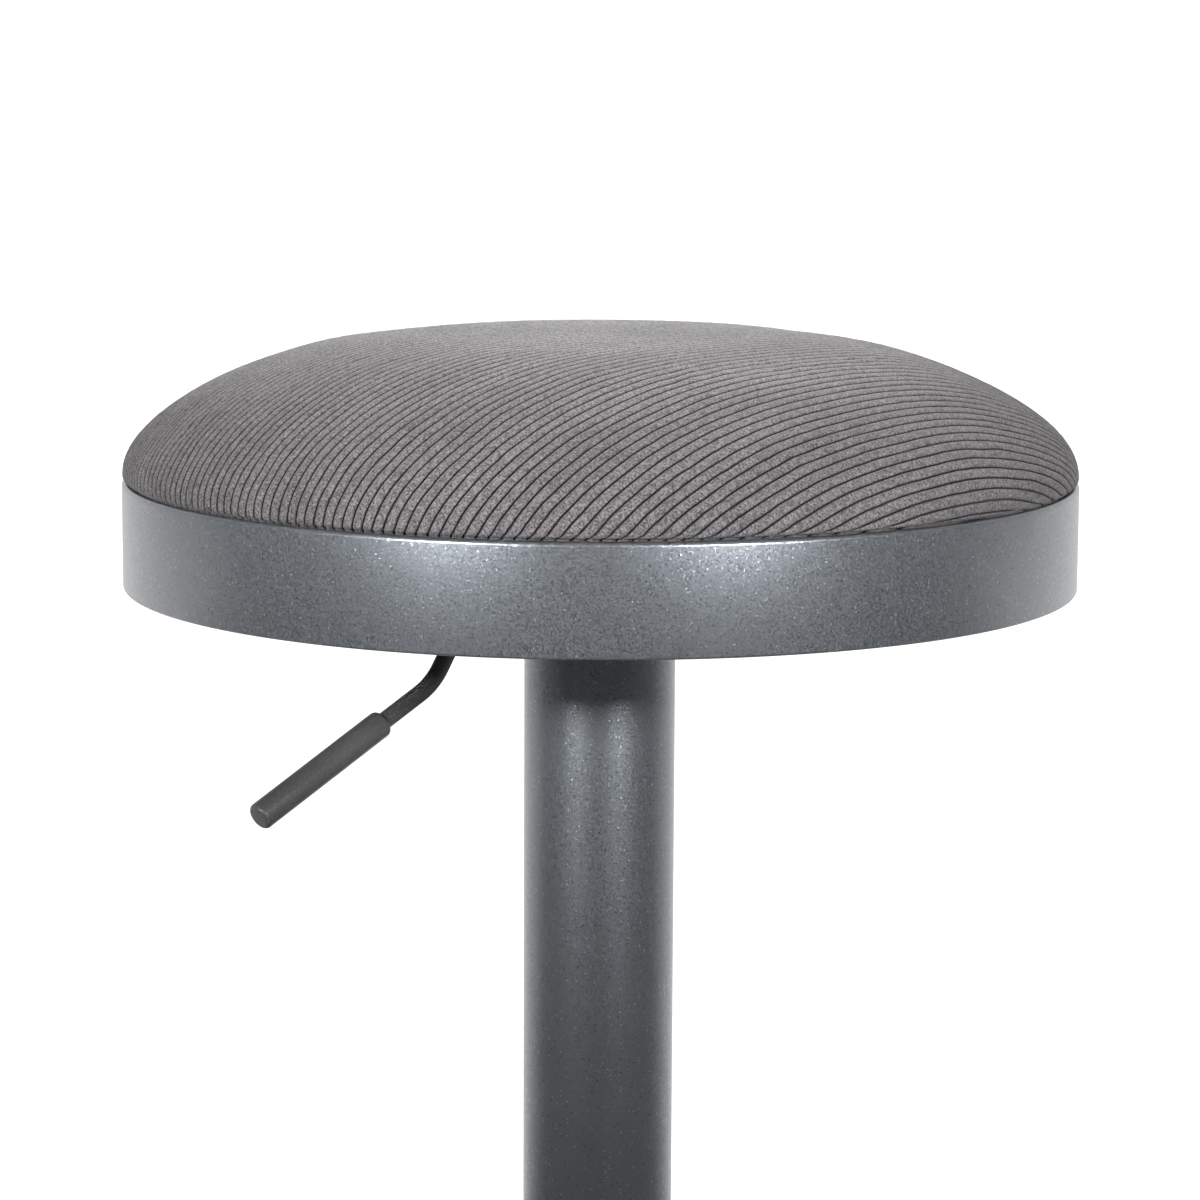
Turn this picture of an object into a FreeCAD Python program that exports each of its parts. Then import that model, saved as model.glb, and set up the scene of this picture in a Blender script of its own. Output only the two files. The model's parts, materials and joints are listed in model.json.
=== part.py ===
"""Adjustable swivel stool: an upholstered round seat on a gas-lift column with a footrest and a floor plate.

Frame: millimetres, +Z up, origin on the column's axis at the floor. The seat stands at its lowest height.
Every sub-part is an object of one document, and its sizes follow the spreadsheet "dims".
"""
import FreeCAD, Part
import math
import os
import re
import sys

import Sketcher
from FreeCAD import Placement, Rotation, Vector

# The driving dimensions, in millimetres and degrees. Names that end in _low, _top or _high are heights
# above the floor, and names that end in _out are distances from the column's axis.
DIMENSIONS = {
    # floor plate
    "plate_rad": 220, "plate_low": 4, "plate_top": 12, "plate_round": 3,
    "pad_rad": 14, "pad_out": 196, "pad_round": 1, "pad_count": 6,
    # column foot
    "flange_rad": 52, "flange_top": 18, "spigot_top": 30, "foot_bore": 20,
    "foot_screw_out": 41, "foot_screw_rad": 4, "foot_screw_head": 7.5, "foot_screw_count": 4,
    "trim_rad": 78, "trim_top": 24, "trim_wall": 1.2, "trim_edge": 2, "trim_flat": 38.25, "trim_bend": 124.8,
    # column and standpipe
    "column_rad": 30.25, "column_wall": 2, "column_top": 528.5,
    "pipe_rad": 25, "pipe_wall": 1.5, "pipe_low": 215, "pipe_top": 526, "pipe_floor": 3,
    "seat_ring_low": 555, "cap_top": 530.5, "cap_skirt_low": 518, "cap_bore": 14.6,
    "cap_wall": 1.8, "cap_edge": 1.5, "cap_round": 2.5,
    "locator_high": 20, "locator_low": 225, "locator_upper": 488,
    "bush_low": 446, "bush_lip_top": 528, "shaft_fit": 0.05, "fit_gap": 0.1,
    # thrust bearing under the piston rod
    "race_rad": 13, "race_high": 3, "ball_rad": 1.75, "ball_out": 9, "ball_count": 10,
    "bearing_high": 4, "cage_high": 1.5, "rod_hole": 5.3,
    # gas lift
    "rod_rad": 5, "rod_low": 206, "rod_neck_rad": 4, "rod_neck_low": 484, "rod_top": 499,
    "clip_low": 212, "clip_high": 1.5, "clip_groove": 4, "clip_rad": 8, "clip_gap": 6.4,
    "piston_low": 484, "piston_top": 496, "seal_low": 488.5, "seal_high": 3, "seal_groove": 9.5,
    "bumper_top": 249.5, "bumper_rad": 10.5, "bumper_waist": 8.5, "bumper_bend": 21,
    "gas_rad": 14, "gas_bore": 11.5, "gas_low": 250, "gas_top": 557, "gas_roof": 543,
    "taper_low": 509, "taper_top_rad": 12.8, "valve_hole": 4,
    "gland_low": 252, "gland_top": 270, "gland_seal_top": 275,
    "valve_rad": 3.95, "valve_low": 538, "valve_top": 561.7, "valve_dome": 8,
    # lift bracket under the seat
    "socket_low": 532, "socket_top": 556.5, "socket_rad": 18.5,
    "channel_low": 545, "channel_sheet": 3, "channel_half_wide": 22, "channel_half_long": 35,
    "bracket_low": 576, "bracket_high": 3, "bracket_long": 130, "bracket_wide": 170, "bracket_corner": 12,
    "bolt_along": 50, "bolt_across": 70, "bolt_rad": 3, "bolt_hole": 3.3, "bolt_top": 593,
    "bolt_head_high": 4, "bolt_head_flats": 10, "washer_high": 1.5, "washer_rad": 8,
    "strap_top": 582, "strap_wide": 30,
    # seat
    "rim_rad": 189, "rim_wall": 2.5, "rim_top": 597, "rim_round": 2, "rim_edge": 1,
    "board_low": 585, "board_top": 595, "board_rad": 184.6,
    "tee_barrel": 4, "tee_flange_rad": 9.5, "tee_flange_high": 1.2,
    "cloth": 1.5, "cloth_gap": 0.3, "fold_inner": 160, "seat_top": 655,
    "crown_out": 102.7, "crown_high": 649.8,
    "slope_out": 162.8, "slope_high": 629.5, "slope_bend": 142,
    "shoulder_out": 187.6, "shoulder_high": 607, "shoulder_bend": 91,
    "bulge_out": 188.9, "bulge_high": 600.5, "bulge_bend": 8, "tuck_high": 597.6, "tuck_bend": 3.6,
    "staple_out": 172, "staple_half": 5.5, "staple_wire": 0.8, "staple_top": 591, "staple_count": 24,
    # lever
    "lever_turn": 222, "pivot_out": 22, "pivot_high": 566.5, "pivot_rad": 2.5, "pivot_half": 24,
    "pivot_head_rad": 4, "pivot_head_high": 2, "spacer_rad": 4.3, "side_gap": 0.3, "clip_sheet": 1,
    "rocker_inner": 6, "rocker_outer": 40, "rocker_half_wide": 6, "rocker_half_high": 4.5, "rocker_slope": 3,
    "lever_rad": 3.4, "lever_start": 28, "knee_out": 58.4, "knee_bend": 20, "elbow_out": 86.6,
    "elbow_bend": 26, "drop_angle": 57, "run_angle": 26,
    "handle_out": 111.3, "handle_long": 66.5, "handle_rad": 5.4, "handle_tip": 1.8, "handle_neck": 2,
    "handle_socket": 58,
    # footrest
    "foot_out": 165, "foot_high": 220, "foot_tube": 11, "foot_wall": 1.5, "spoke_rad": 8, "spoke_count": 4,
    "collar_rad": 38, "collar_half": 17, "collar_edge": 1.5,
    "grub_rad": 3, "grub_out": 37, "grub_socket": 2.5, "grub_turn": 45,
    # small edges, and the length of a cut that passes right through
    "bevel": 1, "sink": 0.5, "cut_through": 60,
}
CLOSE = 1e-9

document = FreeCAD.newDocument("stool")
sheet = document.addObject("Spreadsheet::Sheet", "dims")
NODES = []


def fill_sheet():
    """Write every driving dimension to its own row of the spreadsheet."""
    for row, (alias, size) in enumerate(DIMENSIONS.items(), start=1):
        sheet.set(f"A{row}", alias)
        sheet.set(f"B{row}", str(size))
        sheet.setAlias(f"B{row}", alias)
    document.recompute()


def bound(text):
    """Return the expression with each spreadsheet alias written in full."""
    return re.sub(r"[a-z_]+", lambda word: f"dims.{word[0]}" if word[0] in DIMENSIONS else word[0], text)


def size_of(text):
    """Return an expression's present value."""
    return float(sheet.evalExpression(bound(text)))


def bind(item, prop, text):
    """Tie a property of a document object to the spreadsheet."""
    item.setExpression(prop, bound(text))


# ---------------------------------------------------------------- sketches

def origin_item(body, role):
    """Return one of a body's own origin planes or axes."""
    return next(item for item in body.Origin.OriginFeatures if item.Role == role)


def new_body(name):
    """Start a sub-part as a PartDesign body."""
    body = document.addObject("PartDesign::Body", name)
    body.Label = name
    NODES.append(body)
    return body


def new_sketch(body, name, plane, offset=None):
    """Add a sketch on one of the body's origin planes, lifted off it by the expression offset."""
    sketch = body.newObject("Sketcher::SketchObject", name)
    sketch.AttachmentSupport = [(origin_item(body, plane), "")]
    sketch.MapMode = "FlatFace"
    if offset:
        bind(sketch, "AttachmentOffset.Base.z", offset)
    return sketch


def pin_point(sketch, element, end, across, up):
    """Hold one end of a sketch element at two bound coordinates."""
    for kind, text, axis in (("DistanceX", across, -2), ("DistanceY", up, -1)):
        size = size_of(text)
        if abs(size) < CLOSE:
            sketch.addConstraint(Sketcher.Constraint("PointOnObject", element, end, axis))
            continue
        index = sketch.addConstraint(Sketcher.Constraint(kind, -1, 1, element, end, size))
        sketch.setExpression(f"Constraints[{index}]", bound(text))


def arc_between(start, end, radius, turn):
    """Return the short arc from start to end; turn is 1 where it bends left and -1 where it bends right."""
    middle = (start + end) * 0.5
    half = (end - start) * 0.5
    reach = math.sqrt(max(radius ** 2 - half.Length ** 2, 0.0))
    side = Vector(-half.y, half.x, 0).normalize() * turn
    centre = middle + side * reach
    first, last = (start, end) if turn > 0 else (end, start)
    from_angle = math.atan2(first.y - centre.y, first.x - centre.x)
    to_angle = math.atan2(last.y - centre.y, last.x - centre.x)
    return Part.ArcOfCircle(Part.Circle(centre, Vector(0, 0, 1), radius), from_angle, to_angle)


def draw(sketch, points, closed=True):
    """Draw an outline of lines and arcs through bound points.

    A point is (across, up), or (across, up, radius, turn) where an arc arrives at it.
    """
    places = [Vector(size_of(point[0]), size_of(point[1]), 0) for point in points]
    count = len(points) if closed else len(points) - 1
    ends = []
    for index in range(count):
        target = points[(index + 1) % len(points)]
        start, end = places[index], places[(index + 1) % len(points)]
        if len(target) == 2:
            element = sketch.addGeometry(Part.LineSegment(start, end), False)
            ends.append((element, 1, 2))
            continue
        radius, turn = target[2], target[3]
        element = sketch.addGeometry(arc_between(start, end, size_of(radius), turn), False)
        ends.append((element, 1, 2) if turn > 0 else (element, 2, 1))
        constraint = sketch.addConstraint(Sketcher.Constraint("Radius", element, size_of(radius)))
        sketch.setExpression(f"Constraints[{constraint}]", bound(radius))
    for index, (element, start_end, finish_end) in enumerate(ends):
        pin_point(sketch, element, start_end, *points[index][:2])
        if index + 1 < count or closed:
            following = ends[(index + 1) % count]
            sketch.addConstraint(Sketcher.Constraint("Coincident", element, finish_end, *following[:2]))
        else:
            pin_point(sketch, element, finish_end, *points[index + 1][:2])
    return ends[0][0]


def draw_circle(sketch, across, up, radius):
    """Draw a circle with its centre and radius bound."""
    centre = Vector(size_of(across), size_of(up), 0)
    element = sketch.addGeometry(Part.Circle(centre, Vector(0, 0, 1), size_of(radius)), False)
    index = sketch.addConstraint(Sketcher.Constraint("Radius", element, size_of(radius)))
    sketch.setExpression(f"Constraints[{index}]", bound(radius))
    pin_point(sketch, element, 3, across, up)


def draw_axis(sketch, across):
    """Draw a bound upright centre line for a turned shape that stands off the column's axis."""
    distance = size_of(across)
    line = Part.LineSegment(Vector(distance, 0, 0), Vector(distance, 1, 0))
    element = sketch.addGeometry(line, True)
    pin_point(sketch, element, 1, across, "0")
    pin_point(sketch, element, 2, across, "1")


# ---------------------------------------------------------------- features

def turn(body, name, points, cut=False, axis=None):
    """Turn an outline in the XZ plane about the column's axis, or about an upright line at axis."""
    sketch = new_sketch(body, f"{name}_outline", "XZ_Plane")
    draw(sketch, points)
    if axis:
        draw_axis(sketch, axis)
    return spin(body, name, sketch, "Axis0" if axis else "V_Axis", cut)


def spin(body, name, sketch, axis, cut=False):
    """Turn a finished sketch about one of its own axes, as material or as a groove."""
    document.recompute()
    feature = body.newObject("PartDesign::Groove" if cut else "PartDesign::Revolution", name)
    feature.Profile = sketch
    feature.ReferenceAxis = (sketch, [axis])
    feature.Angle = 360
    body.Tip = feature
    document.recompute()
    return feature


def pad(body, name, sketch, length, both_ways=False):
    """Pad a sketch by a bound length."""
    document.recompute()
    feature = body.newObject("PartDesign::Pad", name)
    feature.Profile = sketch
    feature.Midplane = both_ways
    bind(feature, "Length", length)
    body.Tip = feature
    document.recompute()
    return feature


def pocket(body, name, sketch, length):
    """Cut a sketch both ways by a bound total length, and insist that it removed something."""
    document.recompute()
    before = body.Shape.Volume
    feature = body.newObject("PartDesign::Pocket", name)
    feature.Profile = sketch
    feature.Type = "Length"
    feature.Midplane = True
    bind(feature, "Length", length)
    body.Tip = feature
    document.recompute()
    if not feature.Shape.Volume < before - 1e-3:
        sys.exit(f"{body.Label}: {name} cuts nothing")
    return feature


def pattern(body, name, features, count):
    """Repeat features evenly round the column's axis."""
    feature = body.newObject("PartDesign::PolarPattern", name)
    feature.Originals = features
    feature.Axis = (origin_item(body, "Z_Axis"), [""])
    feature.Angle = 360
    bind(feature, "Occurrences", count)
    body.Tip = feature
    document.recompute()
    return feature


def ring(name, inner, outer, low, top):
    """Make a plain ring or tube as a sub-part."""
    body = new_body(name)
    turn(body, "ring", [(inner, low), (outer, low), (outer, top), (inner, top)])
    return body


def aim_along_lever(body):
    """Swing a body that was drawn along +X round to the lever's direction."""
    body.Placement = Placement(Vector(), Rotation(Vector(0, 0, 1), size_of("lever_turn")))
    bind(body, "Placement.Rotation.Angle", "lever_turn")


def bolt_places():
    """Return the four bolt centres as bound coordinates."""
    return [(x, y) for x in ("bolt_along", "-bolt_along") for y in ("bolt_across", "-bolt_across")]


def circles_at_bolts(body, name, radius, offset):
    """Sketch one circle at each bolt, at the height offset."""
    sketch = new_sketch(body, name, "XY_Plane", offset)
    for across, up in bolt_places():
        draw_circle(sketch, across, up, radius)
    return sketch


def at_bolts(name, inner, outer, low, high):
    """Make four equal washers, one at each bolt."""
    body = new_body(name)
    pad(body, "discs", circles_at_bolts(body, "disc_outlines", outer, low), high)
    pocket(body, "holes", circles_at_bolts(body, "hole_outlines", inner, low), f"3 * ({high})")
    return body


# ---------------------------------------------------------------- floor plate and column

def screw_outline(grow):
    """Return a countersunk screw's outline, larger by grow, from the plate's underside upwards."""
    neck = f"foot_screw_out + foot_screw_rad + {grow}"
    head = f"foot_screw_out + foot_screw_head + {grow}"
    low = "plate_low + sink" if grow == "0" else "plate_low"
    return [("foot_screw_out", low), (head, low), (head, "plate_low + bevel"),
            (neck, "plate_low + bevel + foot_screw_head - foot_screw_rad"), (neck, "flange_top"),
            ("foot_screw_out", "flange_top")]


def base_plate():
    """A round steel plate with a rounded upper edge and countersunk holes from below."""
    body = new_body("base_plate")
    turn(body, "disc", [
        ("0", "plate_low"), ("plate_rad - bevel", "plate_low"), ("plate_rad", "plate_low + bevel"),
        ("plate_rad", "plate_top - plate_round"), ("plate_rad - plate_round", "plate_top", "plate_round", 1),
        ("0", "plate_top")])
    hole = turn(body, "hole", screw_outline("fit_gap"), cut=True, axis="foot_screw_out")
    pattern(body, "holes", [hole], "foot_screw_count")


def base_pads():
    """Rubber pads that keep the plate off the floor."""
    body = new_body("base_pads")
    rim = "pad_out + pad_rad"
    foot = turn(body, "pad", [
        ("pad_out", "0"), (f"{rim} - pad_round", "0"), (rim, "pad_round", "pad_round", 1),
        (rim, "plate_low"), ("pad_out", "plate_low")], axis="pad_out")
    pattern(body, "pads", [foot], "pad_count")


def column_flange():
    """The disc that the column is welded to, with a spigot inside the tube."""
    body = new_body("column_flange")
    spigot = "column_rad - column_wall - fit_gap"
    turn(body, "disc", [
        ("foot_bore", "plate_top"), ("flange_rad", "plate_top"), ("flange_rad", "flange_top"),
        (spigot, "flange_top"), (spigot, "spigot_top"), ("foot_bore", "spigot_top")])
    hole = turn(body, "hole", screw_outline("fit_gap"), cut=True, axis="foot_screw_out")
    pattern(body, "holes", [hole], "foot_screw_count")


def flange_screws():
    """Countersunk screws up through the plate into the flange."""
    body = new_body("flange_screws")
    screw = turn(body, "screw", screw_outline("0"), axis="foot_screw_out")
    pattern(body, "screws", [screw], "foot_screw_count")


def flange_trim():
    """A shallow pressed cover over the flange, open round the column."""
    body = new_body("flange_trim")
    neck = "column_rad + fit_gap"
    turn(body, "cover", [
        ("trim_rad", "plate_top"), ("trim_rad", "plate_top + trim_edge"),
        ("trim_flat", "trim_top", "trim_bend", 1), (neck, "trim_top"),
        (neck, "trim_top - trim_wall"), ("trim_flat", "trim_top - trim_wall"),
        ("trim_rad - trim_wall", "plate_top + trim_edge - trim_wall / 2", "trim_bend - trim_wall", -1),
        ("trim_rad - trim_wall", "plate_top")])


def column_tube():
    """The outer column tube."""
    ring("column_tube", "column_rad - column_wall", "column_rad", "flange_top", "column_top")


def locating_rings():
    """Two spacer rings that centre the standpipe in the column."""
    body = new_body("locating_rings")
    inner, outer = "pipe_rad + shaft_fit", "column_rad - column_wall - shaft_fit"
    for name, low in (("lower", "locator_low"), ("upper", "locator_upper")):
        top = f"{low} + locator_high"
        turn(body, name, [(inner, low), (outer, low), (outer, top), (inner, top)])


def standpipe():
    """The gas lift's outer pipe, closed below by a floor with the rod's hole."""
    body = new_body("standpipe")
    inside, floor = "pipe_rad - pipe_wall", "pipe_low + pipe_floor"
    turn(body, "pipe", [
        ("rod_hole", "pipe_low"), ("pipe_rad - bevel", "pipe_low"),
        ("pipe_rad", "pipe_low + bevel", "bevel", 1),
        ("pipe_rad", "pipe_top"), (inside, "pipe_top"), (inside, floor), ("rod_hole", floor)])


def guide_bush():
    """The long plastic bush that the gas cylinder slides and turns in."""
    body = new_body("guide_bush")
    bore, body_rad = "gas_rad + shaft_fit", "pipe_rad - pipe_wall"
    turn(body, "bush", [
        (bore, "bush_low"), (body_rad, "bush_low"), (body_rad, "pipe_top"), ("pipe_rad", "pipe_top"),
        ("pipe_rad", "bush_lip_top"), (bore, "bush_lip_top")])


def column_cap():
    """The plastic cap that closes the top of the column round the cylinder."""
    body = new_body("column_cap")
    skirt_out, skirt_in = "column_rad - column_wall", "column_rad - column_wall - cap_wall"
    turn(body, "cap", [
        ("cap_bore", "column_top"), (skirt_in, "column_top"), (skirt_in, "cap_skirt_low"),
        (skirt_out, "cap_skirt_low"), (skirt_out, "column_top"), ("column_rad", "column_top"),
        ("column_rad - cap_edge", "cap_top", "cap_round", 1), ("cap_bore", "cap_top")])


# ---------------------------------------------------------------- bearing, rod and piston

def bearing():
    """The thrust bearing that lets the rod, and the whole seat with it, turn in the standpipe."""
    floor = "pipe_low + pipe_floor"
    ball_low = f"{floor} + race_high"
    ball_top = f"{ball_low} + bearing_high"
    ring("lower_race", "rod_hole", "race_rad", floor, ball_low)
    ring("upper_race", "rod_rad + shaft_fit", "race_rad", ball_top, f"{ball_top} + race_high")

    balls = new_body("bearing_balls")
    centre = f"{ball_low} + ball_rad + fit_gap"
    ball = turn(balls, "ball", [
        ("ball_out", f"{centre} - ball_rad"), ("ball_out + ball_rad", centre, "ball_rad", 1),
        ("ball_out", f"{centre} + ball_rad", "ball_rad", 1)], axis="ball_out")
    pattern(balls, "balls", [ball], "ball_count")

    cage = new_body("bearing_cage")
    low, top = f"{centre} - cage_high / 2", f"{centre} + cage_high / 2"
    cage_rad = "race_rad - bevel"
    turn(cage, "ring", [("rod_hole", low), (cage_rad, low), (cage_rad, top), ("rod_hole", top)])
    edge = "ball_out + ball_rad + fit_gap"
    hole = turn(cage, "hole", [
        ("ball_out", f"{low} - bevel"), (edge, f"{low} - bevel"), (edge, f"{top} + bevel"),
        ("ball_out", f"{top} + bevel")],
        cut=True, axis="ball_out")
    pattern(cage, "holes", [hole], "ball_count")


def piston_rod():
    """The steel rod, grooved below for its clip and necked above for the piston."""
    body = new_body("piston_rod")
    clip_top = "clip_low + clip_high"
    turn(body, "rod", [
        ("0", "rod_low"), ("rod_rad - bevel", "rod_low"), ("rod_rad", "rod_low + bevel"),
        ("rod_rad", "clip_low"),
        ("clip_groove", "clip_low"), ("clip_groove", clip_top), ("rod_rad", clip_top),
        ("rod_rad", "rod_neck_low"), ("rod_neck_rad", "rod_neck_low"), ("rod_neck_rad", "rod_top"),
        ("0", "rod_top")])


def rod_clip():
    """A snap ring in the rod's lower groove, open on one side."""
    body = ring("rod_clip", "clip_groove + shaft_fit", "clip_rad", "clip_low + fit_gap / 2",
                "clip_low + clip_high - fit_gap / 2")
    sketch = new_sketch(body, "gap_outline", "XY_Plane", "clip_low")
    far = "clip_rad + bevel"
    draw(sketch, [
        ("0", "-clip_gap / 2"), (far, "-clip_gap / 2"), (far, "clip_gap / 2"), ("0", "clip_gap / 2")])
    pocket(body, "gap", sketch, "4 * clip_high")


def rod_bumper():
    """A rubber stop that the gas cylinder lands on."""
    body = new_body("rod_bumper")
    low = "pipe_low + pipe_floor + 2 * race_high + bearing_high"
    middle = f"({low} + bumper_top) / 2"
    bore = "rod_rad + shaft_fit"
    turn(body, "bumper", [
        (bore, low), ("bumper_rad", low), ("bumper_waist", middle, "bumper_bend", -1),
        ("bumper_rad", "bumper_top", "bumper_bend", -1), (bore, "bumper_top")])


def piston():
    """The piston, pressed on the rod's neck and grooved for its seal."""
    body = new_body("piston")
    outer, seal_top = "gas_bore - shaft_fit", "seal_low + seal_high"
    turn(body, "piston", [
        ("rod_neck_rad", "piston_low"), (outer, "piston_low"), (outer, "seal_low"),
        ("seal_groove", "seal_low"), ("seal_groove", seal_top), (outer, seal_top), (outer, "piston_top"),
        ("rod_neck_rad", "piston_top")])
    ring("piston_seal", "seal_groove", "gas_bore - shaft_fit", "seal_low", "seal_low + seal_high")


# ---------------------------------------------------------------- gas cylinder

def gas_cylinder():
    """The pressure tube, with the taper that holds the seat and the valve's hole on top."""
    body = new_body("gas_cylinder")
    turn(body, "tube", [
        ("gas_bore", "gas_low"), ("gas_rad - bevel", "gas_low"), ("gas_rad", "gas_low + bevel"),
        ("gas_rad", "taper_low"), ("taper_top_rad", "gas_top - bevel"), ("taper_top_rad - bevel", "gas_top"),
        ("valve_hole", "gas_top"), ("valve_hole", "gas_roof"), ("gas_bore", "gas_roof")])


def gland():
    """The rod guide and its seal in the lower end of the cylinder."""
    bore = "rod_rad + shaft_fit"
    ring("cylinder_gland", bore, "gas_bore", "gland_low", "gland_top")
    ring("gland_seal", bore, "gas_bore", "gland_top", "gland_seal_top")


def valve_button():
    """The domed pin that opens the gas valve when it is pressed."""
    body = new_body("valve_button")
    dome = "(valve_dome - sqrt(valve_dome ^ 2 - valve_rad ^ 2))"
    turn(body, "button", [
        ("0", "valve_low"), ("valve_rad", "valve_low"), ("valve_rad", f"valve_top - {dome}"),
        ("0", "valve_top", "valve_dome", 1)])


# ---------------------------------------------------------------- lift bracket

def taper_socket():
    """The turned socket that sits on the cylinder's taper."""
    body = new_body("taper_socket")
    slope = "(gas_rad - taper_top_rad) / (gas_top - bevel - taper_low)"
    bore_low = f"gas_rad - (socket_low - taper_low) * {slope} + shaft_fit / 2"
    bore_top = f"gas_rad - (socket_top - taper_low) * {slope} + shaft_fit / 2"
    turn(body, "socket", [
        (bore_low, "socket_low"), ("socket_rad - bevel", "socket_low"), ("socket_rad", "socket_low + bevel"),
        ("socket_rad", "socket_top"), (bore_top, "socket_top")])


def lift_channel():
    """The pressed channel that joins the socket to the bracket plate and carries the lever's pin."""
    body = new_body("lift_channel")
    half, sheet_in = "channel_half_wide", "channel_half_wide - channel_sheet"
    section = new_sketch(body, "section", "YZ_Plane")
    floor = "channel_low + channel_sheet"
    draw(section, [
        (f"-{half}", "channel_low"), (half, "channel_low"), (half, "bracket_low"), (sheet_in, "bracket_low"),
        (sheet_in, floor), (f"-({sheet_in})", floor), (f"-({sheet_in})", "bracket_low"),
        (f"-{half}", "bracket_low")])
    pad(body, "channel", section, "2 * channel_half_long", both_ways=True)
    opening = new_sketch(body, "socket_hole_outline", "XY_Plane", "channel_low")
    draw_circle(opening, "0", "0", "socket_rad + shaft_fit")
    pocket(body, "socket_hole", opening, "4 * channel_sheet")
    pin_hole = new_sketch(body, "pin_hole_outline", "XZ_Plane")
    draw_circle(pin_hole, "pivot_out", "pivot_high", "pivot_rad + shaft_fit")
    pocket(body, "pin_holes", pin_hole, "4 * channel_half_wide")
    aim_along_lever(body)


def bracket_plate():
    """The steel plate that bolts to the seat's straps."""
    body = new_body("bracket_plate")
    sketch = new_sketch(body, "plate_outline", "XY_Plane", "bracket_low")
    half_long, half_wide = "bracket_long / 2", "bracket_wide / 2"
    draw(sketch, [
        (f"-{half_long}", f"-{half_wide}"), (half_long, f"-{half_wide}"), (half_long, half_wide),
        (f"-{half_long}", half_wide)])
    plate = pad(body, "plate", sketch, "bracket_high")
    upright = [f"Edge{index}" for index, edge in enumerate(plate.Shape.Edges, start=1)
               if abs(edge.tangentAt(edge.FirstParameter).z) > 0.99]
    corners = body.newObject("PartDesign::Fillet", "corners")
    corners.Base = (plate, upright)
    bind(corners, "Radius", "bracket_corner")
    body.Tip = corners
    document.recompute()
    pocket(body, "holes", circles_at_bolts(body, "hole_outlines", "bolt_hole", "bracket_low"),
           "4 * bracket_high")


def bracket_fasteners():
    """The four bolts, their washers and spacers, and the tee nuts in the board."""
    bolts = new_body("bracket_bolts")
    head_top = "bracket_low - washer_high"
    shanks = circles_at_bolts(bolts, "shank_outlines", "bolt_rad", head_top)
    pad(bolts, "shanks", shanks, f"bolt_top - ({head_top})")
    heads = new_sketch(bolts, "head_outlines", "XY_Plane", f"{head_top} - bolt_head_high")
    for across, up in bolt_places():
        reach = "bolt_head_flats / sqrt(3)"
        half, flat = f"{reach} / 2", "bolt_head_flats / 2"
        corners = ((reach, "0"), (half, flat), (f"-{half}", flat), (f"-{reach}", "0"),
                   (f"-{half}", f"-{flat}"), (half, f"-{flat}"))
        draw(heads, [(f"{across} + ({x})", f"{up} + ({y})") for x, y in corners])
    pad(bolts, "heads", heads, "bolt_head_high")
    at_bolts("bolt_washers", "bolt_hole", "washer_rad", head_top, "washer_high")
    at_bolts("board_spacers", "bolt_hole", "washer_rad", "strap_top", "board_low - strap_top")
    nuts = new_body("tee_nuts")
    pad(nuts, "barrels", circles_at_bolts(nuts, "barrel_outlines", "tee_barrel", "board_low + bevel"),
        "board_top - board_low - bevel")
    pad(nuts, "flanges", circles_at_bolts(nuts, "flange_outlines", "tee_flange_rad", "board_top"),
        "tee_flange_high")
    pocket(nuts, "threads", circles_at_bolts(nuts, "thread_outlines", "bolt_rad + shaft_fit", "board_top"),
           "4 * (board_top - board_low)")


def cross_straps():
    """Two flat bars welded across the inside of the seat ring."""
    body = new_body("cross_straps")
    reach = "rim_rad - rim_wall - shaft_fit"
    low = "bracket_low + bracket_high"
    disc = new_sketch(body, "disc_outline", "XY_Plane", low)
    draw_circle(disc, "0", "0", reach)
    pad(body, "disc", disc, f"strap_top - ({low})")
    waste = new_sketch(body, "waste_outline", "XY_Plane", low)
    inner, outer = "(bolt_across - strap_wide / 2)", "(bolt_across + strap_wide / 2)"
    far = "rim_rad"
    for near, end in ((f"-{inner}", inner), (outer, far), (f"-{far}", f"-{outer}")):
        draw(waste, [(f"-{far}", near), (far, near), (far, end), (f"-{far}", end)])
    pocket(body, "waste", waste, "cut_through")
    pocket(body, "holes", circles_at_bolts(body, "hole_outlines", "bolt_hole", low), "cut_through")


# ---------------------------------------------------------------- seat

def seat_ring():
    """The deep metal hoop round the seat."""
    body = new_body("seat_ring")
    inner = "rim_rad - rim_wall"
    turn(body, "hoop", [
        (inner, "seat_ring_low + rim_edge"), (f"{inner} + rim_edge", "seat_ring_low", "rim_edge", 1),
        ("rim_rad - rim_edge", "seat_ring_low"), ("rim_rad", "seat_ring_low + rim_edge", "rim_edge", 1),
        ("rim_rad", "rim_top - rim_round"), ("rim_rad - rim_round", "rim_top", "rim_round", 1),
        (inner, "rim_top")])


def seat_board():
    """The plywood disc under the foam, drilled for the tee nuts."""
    body = new_body("seat_board")
    turn(body, "disc", [("0", "board_low"), ("board_rad", "board_low"), ("board_rad", "board_top"),
                        ("0", "board_top")])
    holes = circles_at_bolts(body, "hole_outlines", "tee_barrel + shaft_fit", "board_low")
    pocket(body, "holes", holes, "cut_through")


def crown(inset):
    """Return the cushion's outline from its widest point up to the axis, moved inwards by inset."""
    rise, reach = "(seat_top - crown_high)", f"(crown_out - {inset} * 0.1)"
    crown_bend = f"({reach} ^ 2 + {rise} ^ 2) / (2 * {rise})"
    return [
        (f"bulge_out - {inset}", f"bulge_high + {inset} * 0.4"),
        (f"shoulder_out - {inset}", "shoulder_high", f"bulge_bend - {inset}", 1),
        (f"slope_out - {inset} * 0.5", f"slope_high - {inset} * 0.86", f"shoulder_bend - {inset}", 1),
        (reach, f"crown_high - {inset}", f"slope_bend - {inset}", 1),
        ("0", f"seat_top - {inset}", crown_bend, 1)]


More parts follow.
